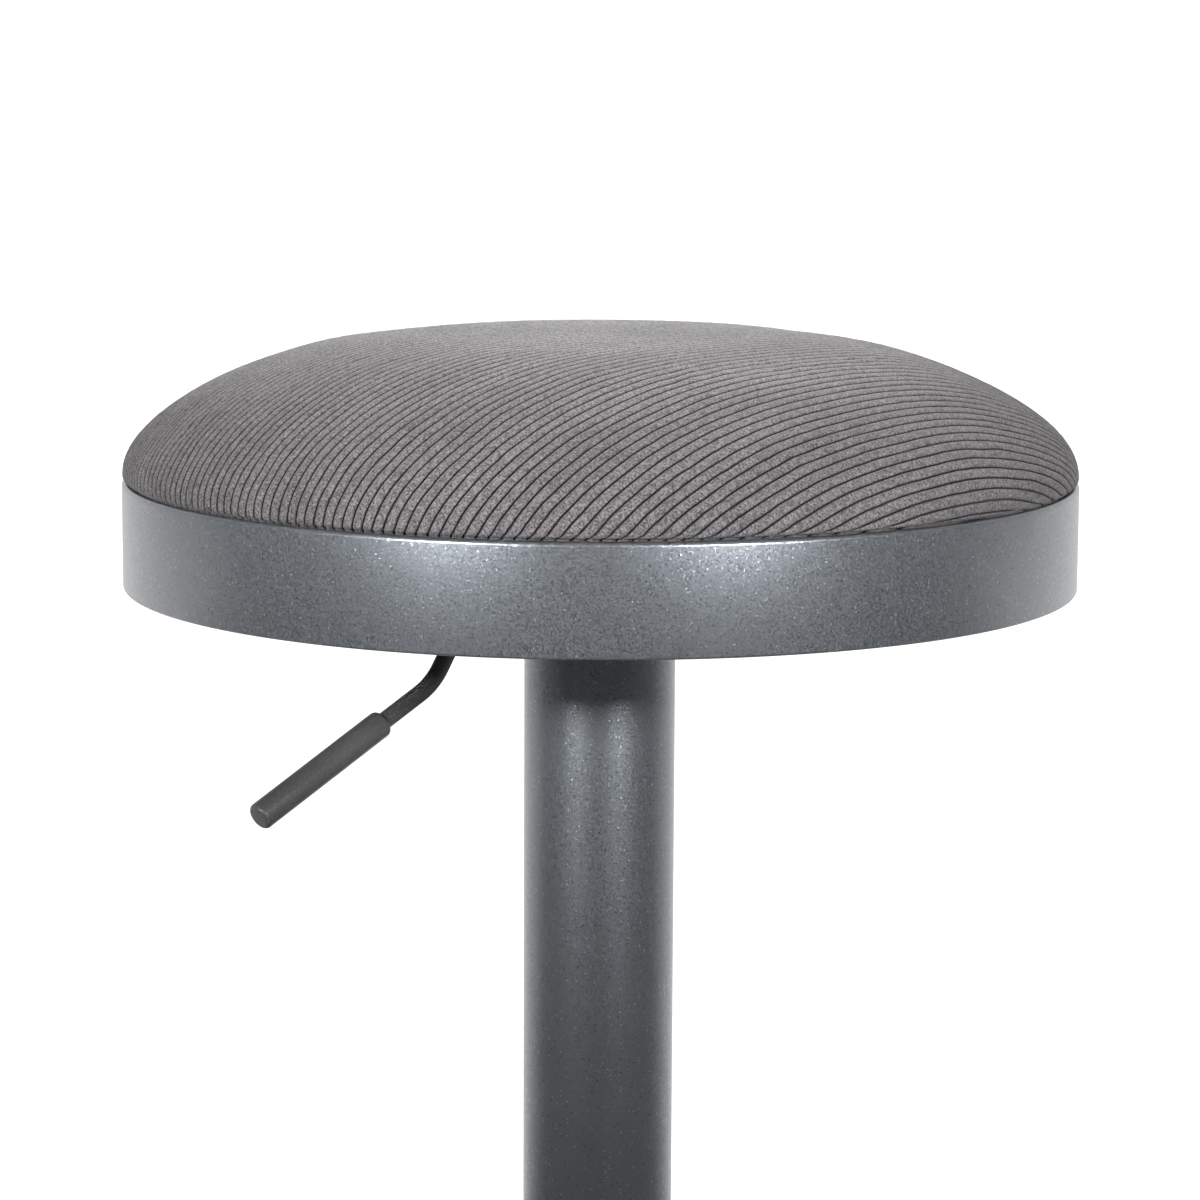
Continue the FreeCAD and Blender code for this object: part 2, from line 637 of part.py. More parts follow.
def fabric_cover():
    """The cloth over the cushion, tucked down behind the ring and folded under the board."""
    body = new_body("fabric_cover")
    outer, inner = "rim_rad - rim_wall - cloth_gap", "rim_rad - rim_wall - cloth_gap - cloth"
    widest, *outside = crown("0")
    inside = crown("cloth")
    returning = [(*point[:2], following[2], -1) for point, following in zip(inside[-2::-1], inside[:0:-1])]
    turn(body, "cloth", [
        ("fold_inner", "board_low - cloth"), (outer, "board_low - cloth"), (outer, "tuck_high"),
        (*widest, "tuck_bend", 1), *outside, ("0", "seat_top - cloth"), *returning,
        (inner, "tuck_high + cloth * 0.8"), (inner, "board_low"), ("fold_inner", "board_low")])


def foam_pad():
    """The moulded foam between the board and the cloth, with room for the tee nuts' flanges."""
    body = new_body("foam_pad")
    side = "rim_rad - rim_wall - cloth_gap - cloth"
    turn(body, "foam", [
        ("0", "board_top"), (side, "board_top"), (side, "tuck_high + cloth * 0.8"), *crown("cloth")])
    nuts = circles_at_bolts(body, "nut_outlines", "tee_flange_rad + fit_gap", "board_top")
    pocket(body, "nut_pockets", nuts, "2 * (tee_flange_high + fit_gap)")


def cover_staples():
    """Wire staples that hold the cloth's fold to the board."""
    body = new_body("cover_staples")
    sketch = new_sketch(body, "staple_outline", "YZ_Plane", "staple_out")
    half, crown_low = "staple_half", "board_low - cloth - staple_wire"
    leg_in = "(staple_half - staple_wire)"
    draw(sketch, [
        (f"-{half}", crown_low), (half, crown_low), (half, "staple_top"), (leg_in, "staple_top"),
        (leg_in, "board_low - cloth"), (f"-{leg_in}", "board_low - cloth"), (f"-{leg_in}", "staple_top"),
        (f"-{half}", "staple_top")])
    staple = pad(body, "staple", sketch, "staple_wire", both_ways=True)
    pattern(body, "staples", [staple], "staple_count")


# ---------------------------------------------------------------- lever

def pivot_pin():
    """The headed pin through the channel and the rocker, with its clip and two spacers."""
    pin = new_body("pivot_pin")
    for name, plane_offset, radius, length in (
            ("shank", "-pivot_half", "pivot_rad", "2 * pivot_half"),
            ("head", "pivot_half", "pivot_head_rad", "pivot_head_high")):
        sketch = new_sketch(pin, f"{name}_outline", "XZ_Plane", plane_offset)
        draw_circle(sketch, "pivot_out", "pivot_high", radius)
        pad(pin, name, sketch, length)
    aim_along_lever(pin)

    clip = new_body("pin_clip")
    sketch = new_sketch(clip, "clip_outline", "XZ_Plane", "-pivot_half + sink")
    draw_circle(sketch, "pivot_out", "pivot_high", "pivot_head_rad")
    draw_circle(sketch, "pivot_out", "pivot_high", "pivot_rad")
    pad(clip, "clip", sketch, "clip_sheet")
    aim_along_lever(clip)

    spacers = new_body("pivot_spacers")
    near = "rocker_half_wide + side_gap"
    length = f"channel_half_wide - channel_sheet - ({near})"
    for name, offset in (("front", near), ("back", f"-({near}) - ({length})")):
        sketch = new_sketch(spacers, f"{name}_outline", "XZ_Plane", offset)
        draw_circle(sketch, "pivot_out", "pivot_high", "spacer_rad")
        draw_circle(sketch, "pivot_out", "pivot_high", "pivot_rad + shaft_fit")
        pad(spacers, name, sketch, length)
    aim_along_lever(spacers)


def lever_rocker():
    """The block that turns on the pin and presses the valve, bored for the lever rod."""
    body = new_body("lever_rocker")
    section = new_sketch(body, "side_outline", "XZ_Plane")
    low, top = "pivot_high - rocker_half_high", "pivot_high + rocker_half_high"
    draw(section, [
        ("-rocker_inner", low), ("rocker_outer - bevel", low), ("rocker_outer", f"{low} + bevel"),
        ("rocker_outer", f"{top} - bevel"), ("rocker_outer - bevel", top),
        ("-rocker_inner + rocker_slope", top), ("-rocker_inner", f"{top} - rocker_slope")])
    pad(body, "block", section, "2 * rocker_half_wide", both_ways=True)
    pin_hole = new_sketch(body, "pin_hole_outline", "XZ_Plane")
    draw_circle(pin_hole, "pivot_out", "pivot_high", "pivot_rad + shaft_fit")
    pocket(body, "pin_hole", pin_hole, "4 * rocker_half_wide")
    rod_hole = new_sketch(body, "rod_hole_outline", "YZ_Plane", "rocker_outer")
    draw_circle(rod_hole, "0", "pivot_high", "lever_rad")
    pocket(body, "rod_hole", rod_hole, "2 * (rocker_outer - lever_start)")
    aim_along_lever(body)


def lever_rod():
    """The bent steel rod from the rocker to the handle."""
    body = new_body("lever_rod")
    knee = "(knee_bend * tan(drop_angle / 2))"
    elbow = "(elbow_bend * tan((drop_angle - run_angle) / 2))"
    elbow_high = "(pivot_high - (elbow_out - knee_out) * tan(drop_angle))"
    end_out = "(handle_out + (handle_socket - sink) * cos(run_angle))"
    path = new_sketch(body, "path", "XZ_Plane")
    draw(path, [
        ("lever_start", "pivot_high"), (f"knee_out - {knee}", "pivot_high"),
        (f"knee_out + {knee} * cos(drop_angle)", f"pivot_high - {knee} * sin(drop_angle)", "knee_bend", -1),
        (f"elbow_out - {elbow} * cos(drop_angle)", f"{elbow_high} + {elbow} * sin(drop_angle)"),
        (f"elbow_out + {elbow} * cos(run_angle)", f"{elbow_high} - {elbow} * sin(run_angle)",
         "elbow_bend", 1),
        (end_out, f"{elbow_high} - ({end_out} - elbow_out) * tan(run_angle)")], closed=False)
    section = new_sketch(body, "section", "YZ_Plane", "lever_start")
    draw_circle(section, "0", "pivot_high", "lever_rad")
    document.recompute()
    rod = body.newObject("PartDesign::AdditivePipe", "rod")
    rod.Profile = section
    rod.Spine = path
    body.Tip = rod
    document.recompute()
    expected = math.pi * size_of("lever_rad") ** 2 * sum(edge.Length for edge in path.Shape.Edges)
    if abs(rod.Shape.Volume - expected) > 0.001 * expected:
        sys.exit("lever_rod: the swept volume is wrong")
    aim_along_lever(body)


def lever_handle():
    """The moulded grip on the rod, turned about the lower run of the lever."""
    body = new_body("lever_handle")
    sketch = new_sketch(body, "outline", "XZ_Plane")
    bind(sketch, "AttachmentOffset.Base.x", "handle_out")
    bind(sketch, "AttachmentOffset.Base.y",
         "pivot_high - (elbow_out - knee_out) * tan(drop_angle) - (handle_out - elbow_out) * tan(run_angle)")
    slant = Rotation(Vector(0, 0, 1), -size_of("run_angle"))
    sketch.AttachmentOffset = Placement(sketch.AttachmentOffset.Base, slant)
    bind(sketch, "AttachmentOffset.Rotation.Angle", "-run_angle")
    bore = "lever_rad + shaft_fit"
    draw(sketch, [
        ("0", bore), ("handle_socket", bore), ("handle_socket", "0"), ("handle_long", "0"),
        ("handle_long", "handle_rad - handle_tip"),
        ("handle_long - handle_tip", "handle_rad", "handle_tip", 1), ("handle_neck", "handle_rad"),
        ("0", "handle_rad - handle_neck + sink", "handle_neck * 1.2", 1)])
    spin(body, "grip", sketch, "H_Axis")
    aim_along_lever(body)


# ---------------------------------------------------------------- footrest

def footrest():
    """The footrest hoop, its spokes, and the collar with the grub screws that clamp it to the column."""
    hoop = new_body("footrest_ring")
    sketch = new_sketch(hoop, "section", "XZ_Plane")
    draw_circle(sketch, "foot_out", "foot_high", "foot_tube")
    draw_circle(sketch, "foot_out", "foot_high", "foot_tube - foot_wall")
    spin(hoop, "hoop", sketch, "V_Axis")

    spokes = new_body("footrest_spokes")
    section = new_sketch(spokes, "section", "YZ_Plane", "column_rad")
    draw_circle(section, "0", "foot_high", "spoke_rad")
    draw_circle(section, "0", "foot_high", "spoke_rad - foot_wall")
    bar = pad(spokes, "spoke", section, "foot_out - spoke_rad / 2 - column_rad")
    pattern(spokes, "spokes", [bar], "spoke_count")
    reach = "foot_high + 2 * spoke_rad"
    depth = "foot_high - 2 * spoke_rad"
    cope_rad = "collar_rad + shaft_fit"
    turn(spokes, "collar_cope", [("0", depth), (cope_rad, depth), (cope_rad, reach), ("0", reach)], cut=True)
    cope = new_sketch(spokes, "hoop_cope_outline", "XZ_Plane")
    draw_circle(cope, "foot_out", "foot_high", "foot_tube + shaft_fit")
    spin(spokes, "hoop_cope", cope, "V_Axis", cut=True)

    collar = new_body("footrest_collar")
    low, top, bore = "foot_high - collar_half", "foot_high + collar_half", "column_rad + shaft_fit"
    turn(collar, "collar", [
        (bore, low), ("collar_rad - collar_edge", low), ("collar_rad", f"{low} + collar_edge"),
        ("collar_rad", f"{top} - collar_edge"), ("collar_rad - collar_edge", top), (bore, top)])
    before = collar.Shape.Volume
    hole_outline = new_sketch(collar, "grub_hole_outline", "YZ_Plane", "column_rad - column_wall")
    draw_circle(hole_outline, "0", "foot_high", "grub_rad + shaft_fit")
    document.recompute()
    hole = collar.newObject("PartDesign::Pocket", "grub_hole")
    hole.Profile = hole_outline
    hole.Reversed = True
    bind(hole, "Length", "collar_rad")
    document.recompute()
    pattern(collar, "grub_holes", [hole], "spoke_count")
    if not collar.Shape.Volume < before - 1:
        sys.exit("footrest_collar: the grub holes cut nothing")
    turn_by_grub(collar)

    screws = new_body("collar_screws")
    outline = new_sketch(screws, "screw_outline", "YZ_Plane", "column_rad")
    draw_circle(outline, "0", "foot_high", "grub_rad")
    screw = pad(screws, "screw", outline, "grub_out - column_rad")
    socket_outline = new_sketch(screws, "socket_outline", "YZ_Plane", "grub_out")
    draw_circle(socket_outline, "0", "foot_high", "grub_socket / sqrt(3)")
    socket = pocket(screws, "socket", socket_outline, "2 * grub_rad")
    pattern(screws, "screws", [screw, socket], "spoke_count")
    turn_by_grub(screws)


def turn_by_grub(body):
    """Turn a body about the column so that its screws lie between the spokes."""
    body.Placement = Placement(Vector(), Rotation(Vector(0, 0, 1), size_of("grub_turn")))
    bind(body, "Placement.Rotation.Angle", "grub_turn")


# ---------------------------------------------------------------- build, check and write

def build():
    """Make every sub-part."""
    fill_sheet()
    for make in (
            base_plate, base_pads, column_flange, flange_screws, flange_trim, column_tube, locating_rings,
            standpipe, guide_bush, column_cap, bearing, piston_rod, rod_clip, rod_bumper, piston,
            gas_cylinder,
            gland, valve_button, taper_socket, lift_channel, bracket_plate, bracket_fasteners,
            cross_straps, seat_ring, seat_board, fabric_cover, foam_pad, cover_staples, pivot_pin,
            lever_rocker, lever_rod, lever_handle, footrest):
        make()
    document.recompute()


def faults():
    """Return a line for each object that failed and each sub-part whose shape is unusable."""
    lines = [f"{item.Label}: {item.State}" for item in document.Objects
             if {"Invalid", "Error"} & set(item.State)]
    for node in NODES:
        if node.Shape.isNull() or not node.Shape.isValid() or not node.Shape.Solids:
            lines.append(f"{node.Label}: no valid shape")
    return lines


def write():
    """Write each sub-part to its own file."""
    os.makedirs("parts", exist_ok=True)
    for node in NODES:
        node.Shape.exportStep(f"parts/{node.Label}.step")
        print(f"{node.Label}: {len(node.Shape.Solids)} solid(s), {node.Shape.Volume:.0f} mm3")


build()
problems = faults()
if problems:
    sys.exit("\n".join(problems))
write()
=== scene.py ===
"""The looks of an adjustable swivel stool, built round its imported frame.

The frame gives every size and place, in metres: +Z up, the origin on the column's axis at the floor.
A corduroy cushion sits in a deep powder-coated hoop on a tube column, with a lift lever under the hoop.
"""

import json
import logging
import math
from dataclasses import dataclass
from enum import Enum
from typing import Sequence

import bmesh
import bpy
import numpy as np
from mathutils import Euler, Matrix, Vector, noise
from mathutils.geometry import interpolate_bezier


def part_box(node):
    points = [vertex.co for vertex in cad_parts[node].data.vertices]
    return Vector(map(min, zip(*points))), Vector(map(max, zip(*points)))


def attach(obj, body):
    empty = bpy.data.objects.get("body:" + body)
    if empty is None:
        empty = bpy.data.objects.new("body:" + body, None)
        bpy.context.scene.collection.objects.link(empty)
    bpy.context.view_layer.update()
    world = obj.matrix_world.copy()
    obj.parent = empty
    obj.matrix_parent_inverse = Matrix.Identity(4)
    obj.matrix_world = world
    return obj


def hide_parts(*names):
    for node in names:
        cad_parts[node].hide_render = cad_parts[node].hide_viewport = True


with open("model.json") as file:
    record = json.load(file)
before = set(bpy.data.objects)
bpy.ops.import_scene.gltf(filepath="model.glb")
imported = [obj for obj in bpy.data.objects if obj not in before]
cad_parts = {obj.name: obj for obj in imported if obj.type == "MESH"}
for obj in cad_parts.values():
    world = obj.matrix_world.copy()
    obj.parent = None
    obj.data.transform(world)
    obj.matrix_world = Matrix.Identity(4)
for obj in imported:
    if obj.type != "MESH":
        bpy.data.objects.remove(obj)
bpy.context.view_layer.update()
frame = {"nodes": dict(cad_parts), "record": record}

LOG = logging.getLogger("stool")
MM = 0.001

Colour = tuple[float, float, float]
Outline = list[tuple[float, float]]
Socket = bpy.types.NodeSocket
Item = bpy.types.Object


class Body(Enum):
    """The rigid bodies that pieces ride on."""

    BASE = "base"
    ROD = "piston_rod"
    SEAT = "seat"
    LEVER = "lever"
    VALVE = "valve"


# ---- node trees


class Bench:
    """A short way to lay nodes in a tree and join them."""

    def __init__(self, tree: bpy.types.NodeTree) -> None:
        """Keep the tree to work on.

        Args:
            tree: The shader or geometry tree.
        """
        self.tree = tree

    def add(self, kind: str, inputs: dict | None = None, **settings) -> bpy.types.Node:
        """Add one node.

        Args:
            kind: The node's type name.
            inputs: Values or output sockets, by input name or index.
            **settings: Properties to set before the inputs.

        Returns:
            The new node.
        """
        node = self.tree.nodes.new(kind)
        for name, value in settings.items():
            setattr(node, name, value)
        return self.feed(node, inputs or {})

    def geo(self, kind: str, inputs: dict | None = None, out: int | str = 0, **settings) -> Socket:
        """Add a geometry node and return one of its outputs."""
        return self.add(f"GeometryNode{kind}", inputs, **settings).outputs[out]

    def feed(self, node: bpy.types.Node, inputs: dict) -> bpy.types.Node:
        """Link or set a node's inputs.

        Args:
            node: The node.
            inputs: Values or output sockets, by input name or index.

        Returns:
            The same node.
        """
        for key, value in inputs.items():
            if isinstance(value, Socket):
                self.tree.links.new(value, node.inputs[key])
            else:
                node.inputs[key].default_value = value
        return node

    def math(self, operation: str, *values, clamp: bool = False) -> Socket:
        """Work out one number from others and return its socket."""
        node = self.add("ShaderNodeMath", dict(enumerate(values)), operation=operation, use_clamp=clamp)
        return node.outputs[0]

    def times(self, first, second) -> Socket:
        """Multiply two numbers."""
        return self.math("MULTIPLY", first, second)

    def plus(self, first, second) -> Socket:
        """Add two numbers."""
        return self.math("ADD", first, second)

    def less(self, first, second) -> Socket:
        """Take the second number from the first."""
        return self.math("SUBTRACT", first, second)

    def wave(self, operation: str, turns) -> Socket:
        """Return the sine or cosine of a number of turns."""
        return self.math(operation, self.times(turns, math.tau))

    def vector(self, operation: str, *values, out: int = 0) -> Socket:
        """Work out one vector from others and return its socket."""
        node = self.add("ShaderNodeVectorMath", dict(enumerate(values)), operation=operation)
        return node.outputs[out]

    def pack(self, x, y, z) -> Socket:
        """Join three numbers into a vector."""
        return self.add("ShaderNodeCombineXYZ", {0: x, 1: y, 2: z}).outputs[0]

    def split(self, vector) -> tuple:
        """Return a vector's three numbers."""
        return tuple(self.add("ShaderNodeSeparateXYZ", {0: vector}).outputs)

    def noise(self, where, size: float, detail: float = 2.0, roughness: float = 0.5) -> Socket:
        """Return a noise of about the given size at the given coordinates."""
        inputs = {"Vector": where, "Scale": 1 / size, "Detail": detail, "Roughness": roughness}
        return self.add("ShaderNodeTexNoise", inputs).outputs["Fac"]

    def span(self, value, low, high, to_low=0.0, to_high=1.0, soft: bool = False) -> Socket:
        """Map a range of numbers to another, clamped, with soft ends if asked."""
        inputs = {"Value": value, 1: low, 2: high, 3: to_low, 4: to_high}
        kind = "SMOOTHSTEP" if soft else "LINEAR"
        return self.add("ShaderNodeMapRange", inputs, interpolation_type=kind).outputs[0]

    def vary(self, value, low: float, high: float) -> Socket:
        """Map the part of a noise that matters to a range of numbers."""
        return self.span(value, 0.3, 0.7, low, high)

    def scaled(self, value, amount) -> Socket:
        """Multiply a colour or a vector by an amount."""
        result = self.vector("SCALE", value)
        self.feed(result.node, {"Scale": amount})
        return result

    def blend(self, amount, first, second) -> Socket:
        """Mix two colours and return the result's socket."""
        return self.add("ShaderNodeMix", {0: amount, 6: first, 7: second}, data_type="RGBA").outputs[2]

    def here(self) -> Socket:
        """Return the object's own coordinates."""
        return self.add("ShaderNodeTexCoord").outputs["Object"]

    def stretched(self, where, scale: tuple[float, float, float]) -> Socket:
        """Return coordinates scaled along each axis."""
        return self.add("ShaderNodeMapping", {"Vector": where, "Scale": scale}).outputs[0]

    def cells(self, where, size: float) -> bpy.types.bpy_prop_collection:
        """Return the outputs of a cell texture with cells of about the given size."""
        return self.add("ShaderNodeTexVoronoi", {"Vector": where, "Scale": 1 / size}).outputs

    def bump(self, strength: float, distance: float, height) -> Socket:
        """Return the surface's direction, bent by a height."""
        inputs = {"Strength": strength, "Distance": distance, "Height": height}
        return self.add("ShaderNodeBump", inputs).outputs[0]

    def deliver(self, geometry, finish) -> bpy.types.NodeTree:
        """Make geometry real and smooth, give it its material, and end the tree with it.

        Args:
            geometry: The socket of the grown geometry.
            finish: The material's socket.

        Returns:
            The tree.
        """
        real = self.geo("RealizeInstances", {"Geometry": geometry})
        smooth = self.geo("SetShadeSmooth", {"Geometry": real})
        self.add("NodeGroupOutput", {0: self.geo("SetMaterial", {"Geometry": smooth, "Material": finish})})
        return self.tree


def rgba(colour: Colour, amount: float = 1.0) -> tuple[float, float, float, float]:
    """Return a colour, made lighter or darker by an amount, with full opacity."""
    return (*(part * amount for part in colour), 1.0)


def placed(name: str, data: bpy.types.ID) -> Item:
    """Return a new object in the scene that holds the given data."""
    item = bpy.data.objects.new(name, data)
    bpy.context.scene.collection.objects.link(item)
    return item


def new_finish(name: str) -> tuple[bpy.types.Material, Bench, bpy.types.Node]:
    """Start a material.

    Args:
        name: The finish's name.

    Returns:
        The material, a bench on its tree, and its Principled shader.
    """
    finish = bpy.data.materials.new(name)
    finish.use_nodes = True
    return finish, Bench(finish.node_tree), finish.node_tree.nodes["Principled BSDF"]


def new_tree(name: str, sockets: dict[str, tuple[str, ...]]) -> tuple[Bench, bpy.types.bpy_prop_collection]:
    """Start a geometry tree.

    Args:
        name: The tree's name.
        sockets: The names of its inputs, by kind.

    Returns:
        A bench on the tree, and the inputs.
    """
    tree = bpy.data.node_groups.new(name, "GeometryNodeTree")
    for kind, titles in {"Geometry": ("Geometry",), **sockets}.items():
        for title in titles:
            tree.interface.new_socket(title, in_out="INPUT", socket_type=f"NodeSocket{kind}")
    tree.interface.new_socket("Geometry", in_out="OUTPUT", socket_type="NodeSocketGeometry")
    bench = Bench(tree)
    return bench, bench.add("NodeGroupInput").outputs


# ---- finishes


@dataclass(frozen=True)
class Finish:
    """A named material."""

    name: str

    def make(self) -> bpy.types.Material:
        """Return the material."""
        finish, bench, shader = new_finish(self.name)
        bench.feed(shader, self.look(bench))
        return finish

    def look(self, bench: Bench) -> dict:
        """Lay the finish's nodes.

        Args:
            bench: The bench on the material's tree.

        Returns:
            The shader's inputs.
        """
        raise NotImplementedError


@dataclass(frozen=True)
class PowderCoat(Finish):
    """Gunmetal powder coat: a satin film with fine metallic flakes and a faint orange peel."""

    name: str = "gunmetal_powder_coat"
    colour: Colour = (0.150, 0.158, 0.168)
    flake_size: float = 0.50 * MM
    flake_contrast: float = 0.14
    flake_tilt: float = 0.20
    grit_size: float = 0.9 * MM
    cloud_size: float = 16 * MM
    speck_pitch: float = 1.15 * MM
    speck_share: float = 0.11
    speck_core: float = 0.18
    speck_edge: float = 0.36
    pit_tone: float = 0.35
    # a few flakes painted much lighter: real flakes with a painted glint
    glint_fleck_tone: float = 2.1
    metallic: float = 0.80
    roughness: float = 0.34
    peel_size: float = 1.5 * MM
    peel_height: float = 0.03 * MM
    coat: float = 0.2
    coat_roughness: float = 0.35

    def specks(self, bench: Bench, where: Socket) -> Socket:
        """Return how much darker a pit, or lighter a flake's painted glint, makes each place.

        Args:
            bench: The bench on the finish's tree.
            where: The object's coordinates.

        Returns:
            A factor for the colour, 1 away from specks.
        """
        spots = bench.cells(where, self.speck_pitch)
        near = bench.span(spots["Distance"], self.speck_core, self.speck_edge, 1.0, 0.0)
        tones = []
        # the lighter flecks are painted glints on flakes; the pits are darker specks
        for chance, tone in zip(bench.split(spots["Color"]), (self.pit_tone, self.glint_fleck_tone)):
            chosen = bench.math("GREATER_THAN", chance, 1 - self.speck_share)
            tones.append(bench.span(bench.times(near, chosen), 0.0, 1.0, 1.0, tone))
        return bench.times(*tones)

    def look(self, bench: Bench) -> dict:
        """Return the shader's inputs."""
        where = bench.here()
        lean_x, lean_y, glint = bench.split(bench.cells(where, self.flake_size)["Color"])
        grit = bench.noise(where, self.grit_size, 2.0, 0.6)
        cloud = bench.noise(where, self.cloud_size, 3.0)
        bright = bench.times(bench.span(glint, 0.0, 1.0, 1 - self.flake_contrast, 1 + self.flake_contrast),
                             bench.vary(grit, 0.94, 1.06))
        shade = bench.times(bench.times(bright, self.specks(bench, where)), bench.vary(cloud, 0.97, 1.03))
        peel = bench.noise(where, self.peel_size)
        surface = bench.bump(0.45, self.peel_height, peel)

        # each flake leans its own way, and the brightest lean most
        mixed = bench.math("MULTIPLY_ADD", lean_x, 17.0, bench.times(lean_y, 29.0))
        ways = bench.pack(lean_x, lean_y, bench.math("FRACT", mixed))
        tilt = bench.span(glint, 0.5, 1.0, 0.1 * self.flake_tilt, self.flake_tilt)
        lean = bench.scaled(bench.vector("SUBTRACT", ways, (0.5, 0.5, 0.5)), tilt)
        return {
            "Base Color": bench.scaled(self.colour, shade),
            "Metallic": bench.span(glint, 0.1, 0.9, self.metallic - 0.2, self.metallic + 0.2),
            "Roughness": bench.span(glint, 0.0, 1.0, self.roughness + 0.05, self.roughness - 0.05),
            "Normal": bench.vector("NORMALIZE", bench.vector("ADD", surface, lean)),
            "Coat Weight": self.coat, "Coat Roughness": self.coat_roughness}


@dataclass(frozen=True)
class SatinPaint(Finish):
    """Near-black satin paint on steel, with a faint texture."""

    name: str = "black_satin_paint"
    colour: Colour = (0.022, 0.023, 0.025)
    roughness: float = 0.42
    grain_size: float = 0.9 * MM

    def look(self, bench: Bench) -> dict:
        """Return the shader's inputs."""
        where = bench.here()
        grain = bench.noise(where, self.grain_size, 3.0)
        cloud = bench.noise(where, 22 * MM)
        dark, light = rgba(self.colour, 0.8), rgba(self.colour, 1.5)
        return {
            "Base Color": bench.blend(bench.vary(grain, 0.0, 1.0), dark, light),
            "Roughness": bench.vary(cloud, self.roughness - 0.06, self.roughness + 0.08),
            "Normal": bench.bump(0.35, 0.05 * MM, grain)}


@dataclass(frozen=True)
class BareMetal(Finish):
    """Plated or ground metal with fine brushing along one direction."""

    colour: Colour
    roughness: float
    brushing: tuple[float, float, float] = (1.0, 1.0, 12.0)
    yellowing: float = 0.0

    def look(self, bench: Bench) -> dict:
        """Return the shader's inputs."""
        where = bench.here()
        stretched = bench.stretched(where, self.brushing)
        lines = bench.noise(stretched, 2.5 * MM, 3.0, 0.6)
        cloud = bench.noise(where, 9 * MM)
        warm = (self.colour[0], self.colour[1] * 0.97, self.colour[2] * (1 - self.yellowing))
        return {
            "Base Color": bench.blend(bench.span(cloud, 0.35, 0.7), rgba(self.colour), rgba(warm)),
            "Metallic": 1.0,
            "Roughness": bench.vary(lines, self.roughness - 0.08, self.roughness + 0.1),
            "Normal": bench.bump(0.2, 0.02 * MM, lines)}


@dataclass(frozen=True)
class Moulded(Finish):
    """Moulded plastic or rubber with a fine spark-eroded grain."""

    colour: Colour
    roughness: float
    grain_size: float = 0.5 * MM
    grain_height: float = 0.04 * MM

    def look(self, bench: Bench) -> dict:
        """Return the shader's inputs."""
        where = bench.here()
        grain = bench.noise(where, self.grain_size)
        dust = bench.noise(where, 16 * MM, 3.0)
        pale = rgba(tuple(part * 1.35 + 0.003 for part in self.colour))
        return {
            "Base Color": bench.blend(bench.span(dust, 0.45, 0.75), rgba(self.colour), pale),
            "Roughness": bench.vary(grain, self.roughness - 0.05, self.roughness + 0.05),
            "Normal": bench.bump(0.6, self.grain_height, grain)}


@dataclass(frozen=True)
class Plywood(Finish):
    """Dark-stained plywood: a figured face with darker glue lines along its edge."""

    name: str = "stained_plywood"
    pale: Colour = (0.075, 0.066, 0.058)
    dark: Colour = (0.030, 0.026, 0.023)
    ply: float = 1.7 * MM

    def look(self, bench: Bench) -> dict:
        """Return the shader's inputs."""
        where = bench.here()
        along = bench.stretched(where, (1.0, 9.0, 1.0))
        figure = bench.noise(along, 30 * MM, 5.0, 0.6)
        height = bench.split(where)[2]
        layer = bench.math("PINGPONG", height, self.ply / 2)
        glue = bench.span(layer, 0.0, 0.25 * MM, 0.7, 0.0)
        normal = bench.add("ShaderNodeNewGeometry").outputs["Normal"]
        facing = bench.math("ABSOLUTE", bench.split(normal)[2])
        edge = bench.times(glue, bench.span(facing, 0.3, 0.6, 1.0, 0.0))
        grain = bench.blend(bench.span(figure, 0.35, 0.65), rgba(self.pale), rgba(self.dark))
        soft = bench.blend(0.45, rgba(self.pale), grain)
        return {
            "Base Color": bench.blend(edge, soft, rgba(self.dark)), "Roughness": 0.62,
            "Normal": bench.bump(0.2, 0.1 * MM, figure)}


@dataclass(frozen=True)
class Foam(Finish):
    """Cream moulded foam with open pores, their hollows painted darker as shade."""

    name: str = "seat_foam"
    colour: Colour = (0.78, 0.72, 0.55)
    pore: float = 1.2 * MM

    def look(self, bench: Bench) -> dict:
        """Return the shader's inputs."""
        where = bench.here()
        pores = bench.cells(where, self.pore)["Distance"]
        # the pores' hollows are painted darker: painted shade
        shaded_pores = bench.blend(bench.span(pores, 0.1, 0.5), rgba(self.colour, 0.7), rgba(self.colour))
        return {"Base Color": shaded_pores, "Roughness": 0.95, "Normal": bench.bump(0.6, 0.3 * MM, pores)}


